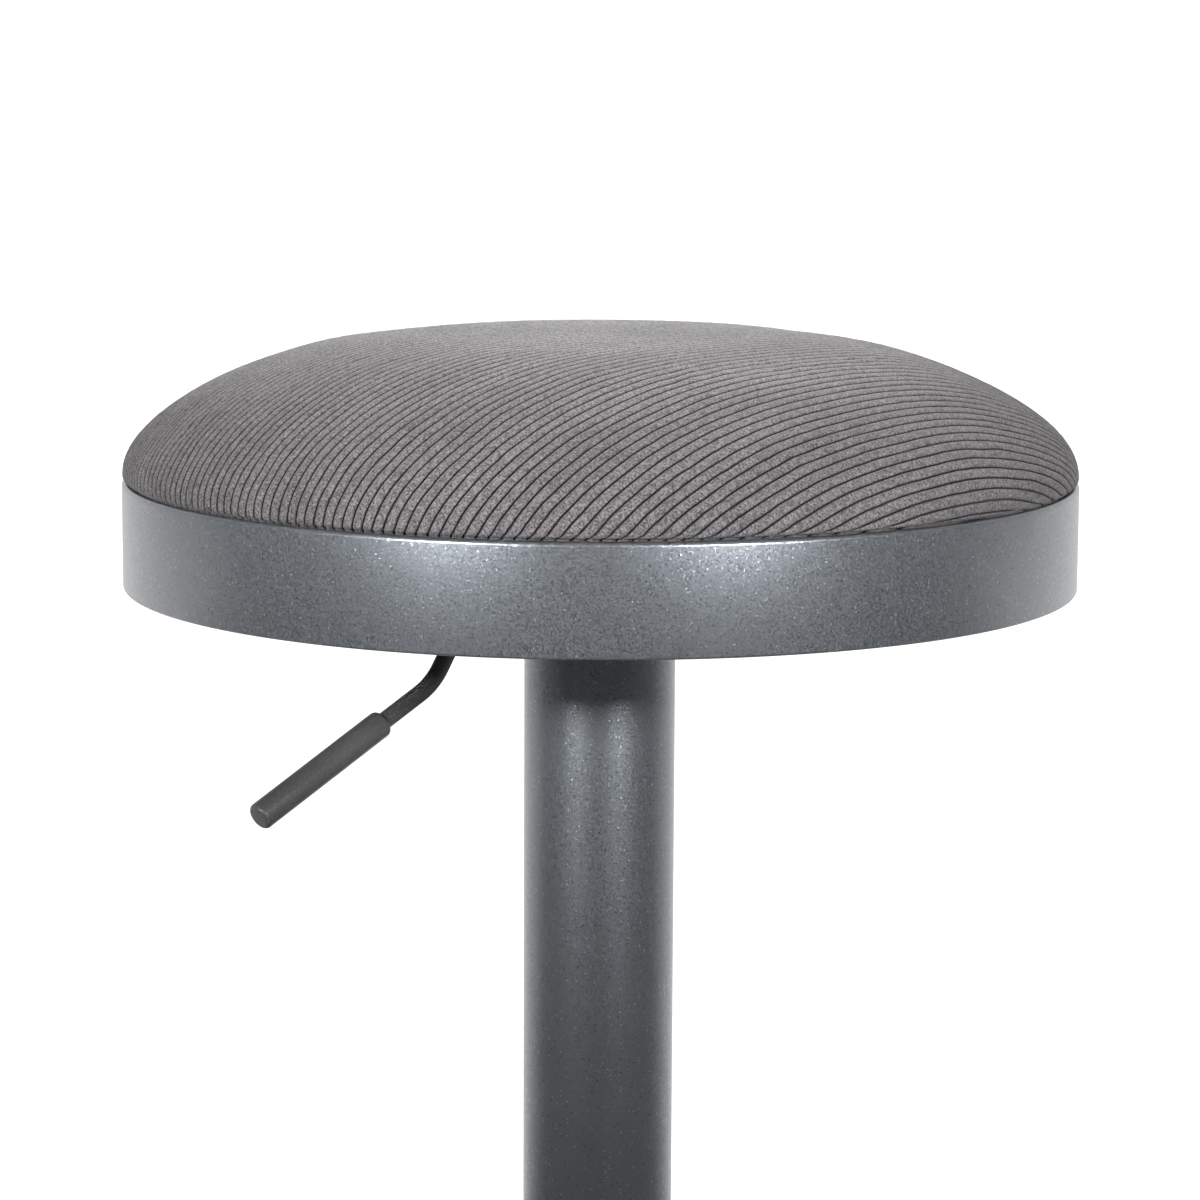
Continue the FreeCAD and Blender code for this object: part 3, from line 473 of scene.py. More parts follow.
@dataclass(frozen=True)
class CorduroyPile(Finish):
    """Grey-taupe corduroy: cut pile on each wale, the ground weave between painted near black as the
    grooves' shade, and patches of brushed nap.

    It reads the cover's own map, in metres: across the wales, then along them.
    """

    name: str = "taupe_corduroy"
    colour: Colour = (0.090, 0.082, 0.083)
    # the ground weave in the grooves, painted near black: painted shade
    shaded_ground: Colour = (0.005, 0.0045, 0.0045)
    tuft: float = 0.85 * MM
    sheen: float = 0.11

    def look(self, bench: Bench) -> dict:
        """Return the shader's inputs."""
        flat = bench.add("ShaderNodeUVMap", uv_map="UVMap").outputs[0]
        wale = bench.add("ShaderNodeAttribute", attribute_name="wale").outputs["Fac"]
        tufts = bench.noise(flat, self.tuft, 3.0, 0.7)
        grain = bench.split(bench.cells(flat, 0.8 * self.tuft)["Color"])[0]
        along = bench.stretched(flat, (1.0, 0.3, 1.0))
        strands = bench.noise(along, 1.3 * MM, 3.0, 0.6)
        brushed = bench.noise(along, 34 * MM, 3.0, 0.55)
        patches = bench.noise(flat, 80 * MM, 2.0, 0.5)
        nap = bench.times(bench.vary(brushed, 0.88, 1.12), bench.vary(patches, 0.90, 1.10))
        speck = bench.times(bench.vary(tufts, 0.42, 1.68), bench.span(grain, 0.0, 1.0, 0.52, 1.48))
        mottled = bench.times(speck, bench.vary(strands, 0.86, 1.14))
        pile = bench.scaled(self.colour, bench.times(nap, mottled))
        # towards each groove the pile gives way to the near-black ground: painted shade of the groove
        depth = bench.span(wale, 0.34, 0.92, soft=True)
        fuzz = bench.math("MULTIPLY_ADD", strands, 0.5, tufts)
        return {
            "Base Color": bench.blend(depth, rgba(self.shaded_ground), pile), "Roughness": 0.95,
            "Specular IOR Level": 0.10, "Sheen Weight": self.sheen, "Sheen Roughness": 0.5,
            "Sheen Tint": (0.95, 0.92, 0.90, 1.0), "Normal": bench.bump(0.7, 0.22 * MM, fuzz)}


class FinishShelf:
    """Every finish of the stool, made once, under its slot's name."""

    def __init__(self) -> None:
        """Make the materials."""
        finishes = {
            "powder_steel": PowderCoat(),
            "black_steel": SatinPaint(),
            "zinc_steel": BareMetal("zinc_plate", (0.60, 0.61, 0.62), 0.34, yellowing=0.18),
            "bright_steel": BareMetal("ground_steel", (0.62, 0.62, 0.63), 0.22, (1.0, 1.0, 30.0)),
            "aluminium": BareMetal("machined_aluminium", (0.78, 0.78, 0.80), 0.28),
            "black_plastic": Moulded("black_moulding", (0.020, 0.020, 0.022), 0.48),
            "black_rubber": Moulded("black_rubber", (0.016, 0.016, 0.017), 0.75, 1.1 * MM, 0.08 * MM),
            "plywood": Plywood(),
            "foam": Foam(),
            "corduroy": CorduroyPile(),
        }
        self.by_slot = {slot: finish.make() for slot, finish in finishes.items()}
        self.handle = SatinPaint("charcoal_handle", (0.052, 0.050, 0.050), 0.36, 0.7 * MM).make()

    def dress(self, piece: Item, body: Body, slot: str, *names: str,
              finish: bpy.types.Material | None = None) -> None:
        """Give a piece its finish, from its slot unless one is given, and its body, and report it.

        Args:
            piece: The piece.
            body: The body it rides on.
            slot: The record's material slot.
            *names: The frame's nodes that it replaces.
            finish: Its material, where that is not the slot's own.
        """
        piece.data.materials.clear()
        piece.data.materials.append(finish or self.by_slot[slot])
        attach(piece, body.value)
        if names:
            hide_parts(*names)
        LOG.info("%s: %d faces on %s", piece.name, len(piece.data.polygons), body.value)


# ---- shapes


def rounded(points: Sequence[tuple[float, float, float]], steps: int = 6, closed: bool = True) -> Outline:
    """Round an outline's corners.

    Args:
        points: Corners as across, up and corner radius.
        steps: Segments in each rounded corner.
        closed: Whether the outline returns to its first corner.

    Returns:
        The outline's points.
    """
    result: Outline = []
    count = len(points)
    for index, (across, up, radius) in enumerate(points):
        here = Vector((across, up))
        is_end = not closed and index in (0, count - 1)
        if radius <= 0 or is_end:
            result.append((across, up))
            continue
        back = (Vector(points[index - 1][:2]) - here).normalized()
        ahead = (Vector(points[(index + 1) % count][:2]) - here).normalized()
        half = back.angle(ahead) / 2
        centre = here + (back + ahead).normalized() * (radius / math.sin(half))
        start = here + back * (radius / math.tan(half)) - centre
        finish = here + ahead * (radius / math.tan(half)) - centre
        sweep = start.angle_signed(finish)
        for step in range(steps + 1):
            turned = Matrix.Rotation(-sweep * step / steps, 2) @ start
            result.append((centre.x + turned.x, centre.y + turned.y))
    return result


def round_spots(distance: float, count: int) -> Outline:
    """Return evenly spaced places on a circle."""
    angles = [math.tau * step / count for step in range(count)]
    return [(distance * math.cos(angle), distance * math.sin(angle)) for angle in angles]


def turned(name: str, outline: Outline, segments: int = 256, closed: bool = True) -> Item:
    """Turn an outline about the column's axis.

    Args:
        name: The piece's name.
        outline: Points as distance from the axis and height, in metres, anticlockwise.
        segments: Steps round the axis.
        closed: Whether the outline is a loop, and not a line from pole to pole.

    Returns:
        The new object.
    """
    shape = bmesh.new()
    rings = []
    for distance, height in outline:
        if distance < 1e-7:
            rings.append([shape.verts.new((0.0, 0.0, height))] * segments)
            continue
        rings.append([shape.verts.new((*spot, height)) for spot in round_spots(distance, segments)])
    spans = zip(rings, rings[1:] + rings[:1]) if closed else zip(rings, rings[1:])
    for low, high in spans:
        for step in range(segments):
            after = (step + 1) % segments
            corners = dict.fromkeys((low[step], low[after], high[after], high[step]))
            if len(corners) > 2:
                shape.faces.new(corners)
    return finished(name, shape)


def finished(name: str, shape: bmesh.types.BMesh, sharp: float = 40.0) -> Item:
    """Turn a bmesh into a smooth-shaded object whose sharp edges stay sharp.

    Args:
        name: The piece's name.
        shape: The mesh, which is freed.
        sharp: The angle in degrees from which an edge stays sharp.

    Returns:
        The new object.
    """
    mesh = bpy.data.meshes.new(name)
    shape.normal_update()
    for face in shape.faces:
        face.smooth = True
    for edge in shape.edges:
        if len(edge.link_faces) == 2 and edge.calc_face_angle(0.0) > math.radians(sharp):
            edge.smooth = False
    shape.to_mesh(mesh)
    shape.free()
    return placed(name, mesh)


def outer_radius(node: str) -> float:
    """Return a node's largest distance from the column's axis along X."""
    low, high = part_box(node)
    return max(abs(low.x), abs(high.x))


# ---- cushion


@dataclass(frozen=True)
class Knot:
    """One knot of the crown's section and its handles, in shares of hoop's radius and crown's rise."""

    at: tuple[float, float]
    before: tuple[float, float]
    after: tuple[float, float]


CROWN = (
    Knot((0.0, 0.972), (-0.24, 0.972), (0.24, 0.972)),
    Knot((0.631, 0.850), (0.499, 0.973), (0.849, 0.650)),
    Knot((0.999, 0.045), (0.999, 0.352), (0.999, 0.024)),
    Knot((0.990, 0.013), (0.9945, 0.012), (0.9865, 0.014)),
    Knot((0.984, -0.030), (0.984, 0.002), (0.984, -0.050)),
    Knot((0.984, -0.085), (0.984, -0.070), (0.984, -0.100)),
)

# the pleats under the board, as their number round the seat, share and start, and how far one may rise
PLEATS = ((57, 0.6, 0.0), (31, 0.4, 1.7))
PLEAT_FLOOR = -0.2


@dataclass
class Cushion:
    """The round corduroy cushion, tucked behind the hoop and folded under the board."""

    shelf: FinishShelf
    pitch: float = 4.5 * MM
    depth: float = 1.0 * MM
    groove: float = 0.62 * MM
    dome: float = 0.22 * MM
    wale_turn: float = math.radians(-43.0)
    columns_per_wale: int = 10
    rows: int = 170
    shell: float = 2.8 * MM
    cloth: float = 1.5 * MM
    tuck: float = 2.9 * MM
    fold_reach: float = 160 * MM
    voxel: float = 6 * MM
    inset: float = 3 * MM
    stuffing: float = 0.8 * MM
    swell_cap: float = 0.7 * MM
    frames: int = 20

    def __post_init__(self) -> None:
        """Read the hoop's and the cloth's places from the frame."""
        self.rim = outer_radius("seat_ring")
        self.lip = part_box("seat_ring")[1].z
        self.under, self.top = (corner.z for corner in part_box("fabric_cover"))
        self.wall = self.rim - self.tuck

    def spot(self, share: tuple[float, float]) -> Vector:
        """Return a place of the section from its shares."""
        return Vector((share[0] * self.rim, 0.0, self.lip + share[1] * (self.top - self.lip)))

    def outline(self, knots: int = len(CROWN), steps: int = 14) -> Outline:
        """Return points along the section, from the axis to the given knot."""
        points: list[Vector] = [self.spot(CROWN[0].at)]
        for first, second in zip(CROWN[:knots], CROWN[1:knots]):
            handles = (first.at, first.after, second.before, second.at)
            points.extend(interpolate_bezier(*map(self.spot, handles), steps)[1:])
        return [(point.x, point.z) for point in points]

    def section_curve(self) -> Item:
        """Return the crown's section as a curve object that the cover's tree samples."""
        curve = bpy.data.curves.new("crown_section", "CURVE")
        curve.dimensions = "3D"
        curve.resolution_u = 40
        spline = curve.splines.new("BEZIER")
        spline.bezier_points.add(len(CROWN) - 1)
        for point, knot in zip(spline.bezier_points, CROWN):
            point.handle_left_type = point.handle_right_type = "FREE"
            point.co = self.spot(knot.at)
            point.handle_left = self.spot(knot.before)
            point.handle_right = self.spot(knot.after)
        return placed("crown_section", curve)

    def plain_form(self) -> Item:
        """Return the closed cushion without wales, in an even mesh that cloth can be made of."""
        outline = [(0.0, self.lip - 5 * MM)] + self.outline()[::-1]
        form = turned("cushion_form", outline, 96, closed=False)
        even = form.modifiers.new("even", "REMESH")
        even.mode = "VOXEL"
        even.voxel_size = self.voxel
        mesh = bpy.data.meshes.new_from_object(form.evaluated_get(bpy.context.evaluated_depsgraph_get()))
        form.modifiers.remove(even)
        form.data = mesh
        return form

    def blown_form(self) -> Item:
        """Return the plain form with the attribute "swell": how far stuffed cloth lies off the form.

        A slightly smaller, unevenly stuffed copy is blown up as cloth with its hem held. What is kept is
        each point's move along its normal, less the mean move at its distance from the axis, and capped.
        """
        form = self.plain_form()
        count = len(form.data.vertices)
        places = np.empty(count * 3)
        form.data.vertices.foreach_get("co", places)
        places = places.reshape(-1, 3)
        swell = np.zeros(count)
        swell = self.blow(form, places)
        form.data.attributes.new("swell", "FLOAT", "POINT").data.foreach_set("value", swell)
        LOG.info("cushion form: %d points, swell %.2f to %.2f mm",
                 count, swell.min() / MM, swell.max() / MM)
        return form

    def blow(self, form: Item, places: np.ndarray) -> np.ndarray:
        """Blow up a copy of the form as cloth.

        Args:
            form: The plain form.
            places: Its points.

        Returns:
            Each point's capped move off the mean.
        """
        normals = np.array([vertex.normal for vertex in form.data.vertices])
        pad = form.copy()
        pad.data = form.data.copy()
        bpy.context.scene.collection.objects.link(pad)
        uneven = np.array([noise.noise(Vector(place) / (55 * MM)) for place in places])
        start = places - normals * (self.inset + self.stuffing * uneven)[:, None]
        pad.data.vertices.foreach_set("co", start.ravel())
        pad.data.update()
        hem = pad.vertex_groups.new(name="hem")
        held = np.flatnonzero(places[:, 2] < self.lip + 4 * MM)
        hem.add(held.tolist(), 1.0, "REPLACE")
        cloth = pad.modifiers.new("cloth", "CLOTH")
        for name, value in {
                "quality": 6, "mass": 0.35, "tension_stiffness": 25.0, "compression_stiffness": 25.0,
                "bending_stiffness": 2.0, "use_pressure": True, "uniform_pressure_force": 4.0,
                "vertex_group_mass": "hem"}.items():
            setattr(cloth.settings, name, value)
        cloth.settings.effector_weights.gravity = 0.0
        cloth.collision_settings.use_collision = False
        cloth.point_cache.frame_start, cloth.point_cache.frame_end = 1, self.frames
        scene = bpy.context.scene
        for step in range(1, self.frames + 1):
            scene.frame_set(step)
        blown = pad.evaluated_get(bpy.context.evaluated_depsgraph_get()).to_mesh()
        ends = np.array([vertex.co for vertex in blown.vertices])
        bpy.data.objects.remove(pad)
        scene.frame_set(1)
        off = ((ends - start) * normals).sum(axis=1) - self.stuffing * uneven
        distance = np.hypot(places[:, 0], places[:, 1])
        even = np.polyval(np.polyfit(distance, off, 4), distance)
        edge = np.clip((places[:, 2] - self.lip - 4 * MM) / (12 * MM), 0.0, 1.0)
        return np.clip(off - even, -self.swell_cap, self.swell_cap) * edge

    def wale_tree(self) -> bpy.types.NodeTree:
        """Return the tree that lays straight wales over the crown.

        A flat grid, its columns along the wales, is wrapped on the crown so that a point keeps its distance
        from the middle along the cloth. Grooves are pressed in between the wales.
        """
        bench, given = new_tree("corduroy_wales", {
            "Float": ("Reach", "Pitch", "Groove", "Depth", "Dome", "Turn"), "Int": ("Columns", "Rows"),
            "Object": ("Section", "Form"), "Material": ("Cloth",)})
        reach, pitch = given["Reach"], given["Pitch"]
        grid = bench.geo("MeshGrid", {
            "Size X": bench.times(reach, 2.0), "Size Y": 2.0, "Vertices X": given["Columns"],
            "Vertices Y": given["Rows"]}, "Mesh")
        place_x, place_y, _ = bench.split(bench.geo("InputPosition"))

        # columns gather at the grooves, and rows at the rim
        gathering, rim_share, groove_curve = 0.72 / math.tau, 0.72, 1.6
        beat = bench.math("DIVIDE", bench.plus(place_x, reach), pitch)
        sway = bench.times(bench.wave("SINE", beat), gathering)
        across = bench.less(place_x, bench.times(sway, pitch))
        ends = bench.math("SINE", bench.times(place_y, math.pi / 2))
        share = bench.math("MULTIPLY_ADD", ends, rim_share, bench.times(place_y, 1 - rim_share))
        squared = bench.less(bench.math("POWER", reach, 2.0), bench.math("POWER", across, 2.0))
        chord = bench.math("SQRT", bench.math("MAXIMUM", squared, 0.0))
        along = bench.times(share, chord)

        # a little wander, so that no wale is quite straight
        flat = bench.pack(across, along, 0.0)
        slow = bench.noise(flat, 55 * MM)
        quick = bench.noise(flat, 11 * MM, 1.0)
        wander = bench.plus(bench.span(slow, 0.25, 0.75, -0.5 * MM, 0.5 * MM),
                            bench.span(quick, 0.25, 0.75, -0.16 * MM, 0.16 * MM))
        shifted = bench.math("MULTIPLY_ADD", wander, bench.span(chord, 0.0, 30 * MM), across)

        # wrap on the crown
        distance = bench.vector("LENGTH", bench.pack(shifted, along, 0.0), out=1)
        safe = bench.math("MAXIMUM", distance, 1e-6)
        cosine, sine = bench.math("COSINE", given["Turn"]), bench.math("SINE", given["Turn"])
        unit_x = bench.math("DIVIDE", bench.less(bench.times(shifted, cosine),
                                                 bench.times(along, sine)), safe)
        unit_y = bench.math("DIVIDE", bench.plus(bench.times(shifted, sine),
                                                 bench.times(along, cosine)), safe)
        curve = bench.geo("ObjectInfo", {"Object": given["Section"]}, "Geometry")
        sample = bench.add("GeometryNodeSampleCurve", {
            "Curves": curve, "Length": bench.math("MINIMUM", distance, reach)}, mode="LENGTH").outputs
        radius, _, height = bench.split(sample["Position"])
        tangent_out, _, tangent_up = bench.split(sample["Tangent"])

        # the stuffed form's own unevenness
        form = bench.geo("ObjectInfo", {"Object": given["Form"]}, "Geometry")
        kept = bench.geo("InputNamedAttribute", {"Name": "swell"}, data_type="FLOAT")
        plain = bench.pack(bench.times(unit_x, radius), bench.times(unit_y, radius), height)
        swell = bench.geo("SampleNearestSurface", {
            "Mesh": form, "Value": kept, "Sample Position": plain}, data_type="FLOAT")

        # the groove between two wales, and each wale's round back
        shift = bench.math("FRACT", beat)
        swing = bench.times(bench.wave("SINE", shift), gathering)
        gathered = bench.less(shift, swing)
        nearer = bench.math("MINIMUM", gathered, bench.less(1.0, gathered))
        rise = bench.math("DIVIDE", bench.times(nearer, pitch), given["Groove"], clamp=True)
        fall = bench.math("POWER", bench.less(1.0, rise), groove_curve)
        back = bench.math("MULTIPLY_ADD", bench.wave("COSINE", gathered), -0.5, 0.5)
        sunk = bench.plus(bench.times(fall, given["Depth"]),
                          bench.times(bench.less(1.0, back), given["Dome"]))
        uneven = bench.noise(flat, 5 * MM)
        ripple = bench.span(uneven, 0.25, 0.75, -0.10 * MM, 0.0)
        lift = bench.plus(bench.less(ripple, sunk), swell)
        out_by = bench.math("MULTIPLY_ADD", bench.times(tangent_up, -1.0), lift, radius)
        up_to = bench.math("MULTIPLY_ADD", tangent_out, lift, height)
        final = bench.pack(bench.times(unit_x, out_by), bench.times(unit_y, out_by), up_to)

        mapped = bench.geo("StoreNamedAttribute", {
            "Geometry": grid, "Name": "UVMap", "Value": bench.pack(shifted, along, 0.0)},
            data_type="FLOAT2", domain="CORNER")
        marked = bench.geo("StoreNamedAttribute", {
            "Geometry": mapped, "Name": "wale", "Value": rise}, data_type="FLOAT", domain="POINT")
        moved = bench.geo("SetPosition", {"Geometry": marked, "Position": final})
        joined = bench.geo("MergeByDistance", {"Geometry": moved, "Distance": 0.004 * MM})
        return bench.deliver(joined, given["Cloth"])

    def cover(self) -> Item:
        """Return the cloth cover: wales over the crown, the fold under the board, and an inner side."""
        section = self.section_curve()
        form = self.blown_form()
        reach = section.data.splines[0].calc_length()
        wales = round(2 * reach / self.pitch)
        sizes = {
            "Reach": reach, "Pitch": 2 * reach / wales, "Groove": self.groove, "Depth": self.depth,
            "Dome": self.dome, "Turn": self.wale_turn, "Columns": wales * self.columns_per_wale + 1,
            "Rows": self.rows, "Section": section, "Form": form, "Cloth": self.shelf.by_slot["corduroy"]}
        mesh = grown(self.wale_tree(), sizes, "fabric_cover_mesh")
        bpy.data.objects.remove(section)
        bpy.data.objects.remove(form)
        piece = placed("corduroy_cover", mesh)
        self.close(piece)
        return piece

    def close(self, piece: Item) -> None:
        """Fold the cover's edge under the board in small pleats, and close it with an inner side."""
        shape = bmesh.new()
        shape.from_mesh(piece.data)
        wall, fold, inside = self.wall, self.under, self.wall - self.cloth
        steps = [(wall, fold + 2.0 * MM, 0.0), (wall - 0.4 * MM, fold + 0.7 * MM, 0.2 * MM),
                 (wall - 1.4 * MM, fold + 0.2 * MM, 0.4 * MM), (wall - 5 * MM, fold + 0.1 * MM, 0.6 * MM),
                 (wall - 12 * MM, fold, 0.7 * MM), (wall - 20 * MM, fold, 0.6 * MM),
                 (self.fold_reach, fold, 0.4 * MM), (self.fold_reach, fold + self.cloth - 0.2 * MM, 0.0),
                 (inside, fold + self.cloth - 0.1 * MM, 0.0), (inside, self.lip - 4 * MM, 0.0)]
        steps += [(distance, height, 0.0) for distance, height in self.inner_side(self.shell)]
        edges = [edge for edge in shape.edges if len(edge.link_faces) == 1]
        for distance, height, pleat in steps:
            made = bmesh.ops.extrude_edge_only(shape, edges=edges)["geom"]
            edges = [item for item in made if isinstance(item, bmesh.types.BMEdge)]
            ring = [item for item in made if isinstance(item, bmesh.types.BMVert)]
            for point in ring:
                angle = math.atan2(point.co.y, point.co.x)
                wave = sum(math.sin(angle * count + start) * share for count, share, start in PLEATS)
                drop = pleat * max(wave, PLEAT_FLOOR)
                point.co = (distance * math.cos(angle), distance * math.sin(angle), height - drop)
        bmesh.ops.pointmerge(shape, verts=ring, merge_co=Vector((0.0, 0.0, self.top - self.shell)))
        for face in shape.faces:
            face.smooth = True
        shape.to_mesh(piece.data)
        shape.free()

    def inner_side(self, below: float) -> Outline:
        """Return the crown's section moved inwards, from the hoop to near the axis, in a few points."""
        outline = self.outline(3, 5)
        result: Outline = []
        for index in range(len(outline) - 2, 0, -1):
            before, after = Vector(outline[index - 1]), Vector(outline[index + 1])
            normal = (after - before).normalized().orthogonal()
            moved = Vector(outline[index]) - normal * below
            result.append((moved.x, moved.y))
        return result

    def foam(self) -> Item:
        """Return the foam block, a little clear of the cover's inner side."""
        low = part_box("foam_pad")[0].z
        side = self.wall - self.cloth - 1.5 * MM
        crown = self.inner_side(self.shell + 1 * MM)
        outline = [(0.0, low), (side - 1 * MM, low), (side, low + 1 * MM), (side, self.lip), *crown,
                   (0.0, self.top - self.shell - 1 * MM)]
        return turned("moulded_foam", outline, 96, closed=False)

    def build(self) -> None:
        """Make the cover and the foam, and give them their finishes."""
        piece = self.cover()
        self.shelf.dress(piece, Body.SEAT, "corduroy", "fabric_cover")
        self.shelf.dress(self.foam(), Body.SEAT, "foam", "foam_pad")


def grown(tree: bpy.types.NodeTree, sizes: dict, name: str) -> bpy.types.Mesh:
    """Run a geometry tree once and keep its result as a plain mesh.

    Args:
        tree: The geometry tree.
        sizes: Values for its inputs, by name.
        name: The new mesh's name.

    Returns:
        The mesh.
    """
    seed = placed(f"{name}_seed", bpy.data.meshes.new(f"{name}_seed"))
    modifier = seed.modifiers.new("grow", "NODES")
    modifier.node_group = tree
    for item in tree.interface.items_tree:
        if item.in_out == "INPUT" and item.name in sizes:
            modifier[item.identifier] = sizes[item.name]
    evaluated = seed.evaluated_get(bpy.context.evaluated_depsgraph_get())
    mesh = bpy.data.meshes.new_from_object(evaluated)
    mesh.name = name
    seed.modifiers.remove(modifier)
    bpy.data.objects.remove(seed)
    return mesh


# ---- hoop, column and base


@dataclass
class SeatHoop:
    """The deep powder-coated hoop round the seat."""

    shelf: FinishShelf
    wall: float = 2.5 * MM
    top_round: float = 1.9 * MM
    edge_round: float = 1.0 * MM

    def build(self) -> None:
        """Turn the hoop with its rounded upper lip."""
        low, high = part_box("seat_ring")
        outer = outer_radius("seat_ring")
        inner = outer - self.wall
        outline = rounded([
            (inner, low.z, self.edge_round), (outer, low.z, self.edge_round),
            (outer, high.z, self.top_round), (inner, high.z, 0.4 * MM)])
        hoop = turned("powder_coated_hoop", outline, 384)
        self.shelf.dress(hoop, Body.SEAT, "powder_steel", "seat_ring")


@dataclass
class Column:
    """The tube column with its cap and foot trim."""

    shelf: FinishShelf
    wall: float = 2.0 * MM

    def build(self) -> None:
        """Turn the tube, the cap and the trim."""
        low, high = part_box("column_tube")
        outer = outer_radius("column_tube")
        tube = turned("column_tube_skin", rounded([
            (outer - self.wall, low.z, 0), (outer, low.z, 0.3 * MM), (outer, high.z, 0.5 * MM),
            (outer - self.wall, high.z, 0.3 * MM)]), 160)
        self.shelf.dress(tube, Body.BASE, "powder_steel", "column_tube")
        cap_low, cap_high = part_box("column_cap")
        bore = 14.6 * MM
        skirt = outer - self.wall
        inside = skirt - 1.8 * MM
        cap = turned("column_cap_moulding", rounded([
            (bore, high.z, 0.2 * MM), (inside, high.z, 0), (inside, cap_low.z, 0.2 * MM),
            (skirt, cap_low.z, 0.2 * MM), (skirt, high.z, 0), (outer, high.z, 0.3 * MM),
            (outer, cap_high.z, 1.4 * MM), (bore, cap_high.z, 0.6 * MM)]), 160)
        self.shelf.dress(cap, Body.BASE, "black_plastic", "column_cap")
        self.trim(outer)

    def trim(self, column: float) -> None:
        """Turn the pressed cover at the column's foot.

        Args:
            column: The column's outer radius.
        """
        low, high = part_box("flange_trim")
        outer = outer_radius("flange_trim")
        thick = 1.2 * MM
        neck = column + 0.15 * MM
        under = high.z - thick
        piece = turned("column_foot_trim", rounded([
            (outer, low.z, 0.3 * MM), (outer, low.z + 2 * MM, 1.2 * MM), (neck + 8 * MM, high.z, 9 * MM),
            (neck, high.z, 0.4 * MM), (neck, under, 0.2 * MM), (neck + 7.6 * MM, under, 8 * MM),
            (outer - thick, low.z + 1.5 * MM, 0.6 * MM), (outer - thick, low.z, 0.2 * MM)]), 192)
        self.shelf.dress(piece, Body.BASE, "powder_steel", "flange_trim")


@dataclass
class FloorPlate:
    """The heavy round plate."""

    shelf: FinishShelf

    def build(self) -> None:
        """Turn the plate."""
        low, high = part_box("base_plate")
        outer = outer_radius("base_plate")
        plate = turned("floor_plate", [(0.0, low.z)] + rounded([
            (0.0, low.z, 0), (outer, low.z, 0.8 * MM), (outer, high.z, 2.9 * MM), (0.0, high.z, 0)],
            closed=False)[1:-1] + [(0.0, high.z)], 384, closed=False)
        self.shelf.dress(plate, Body.BASE, "powder_steel", "base_plate")


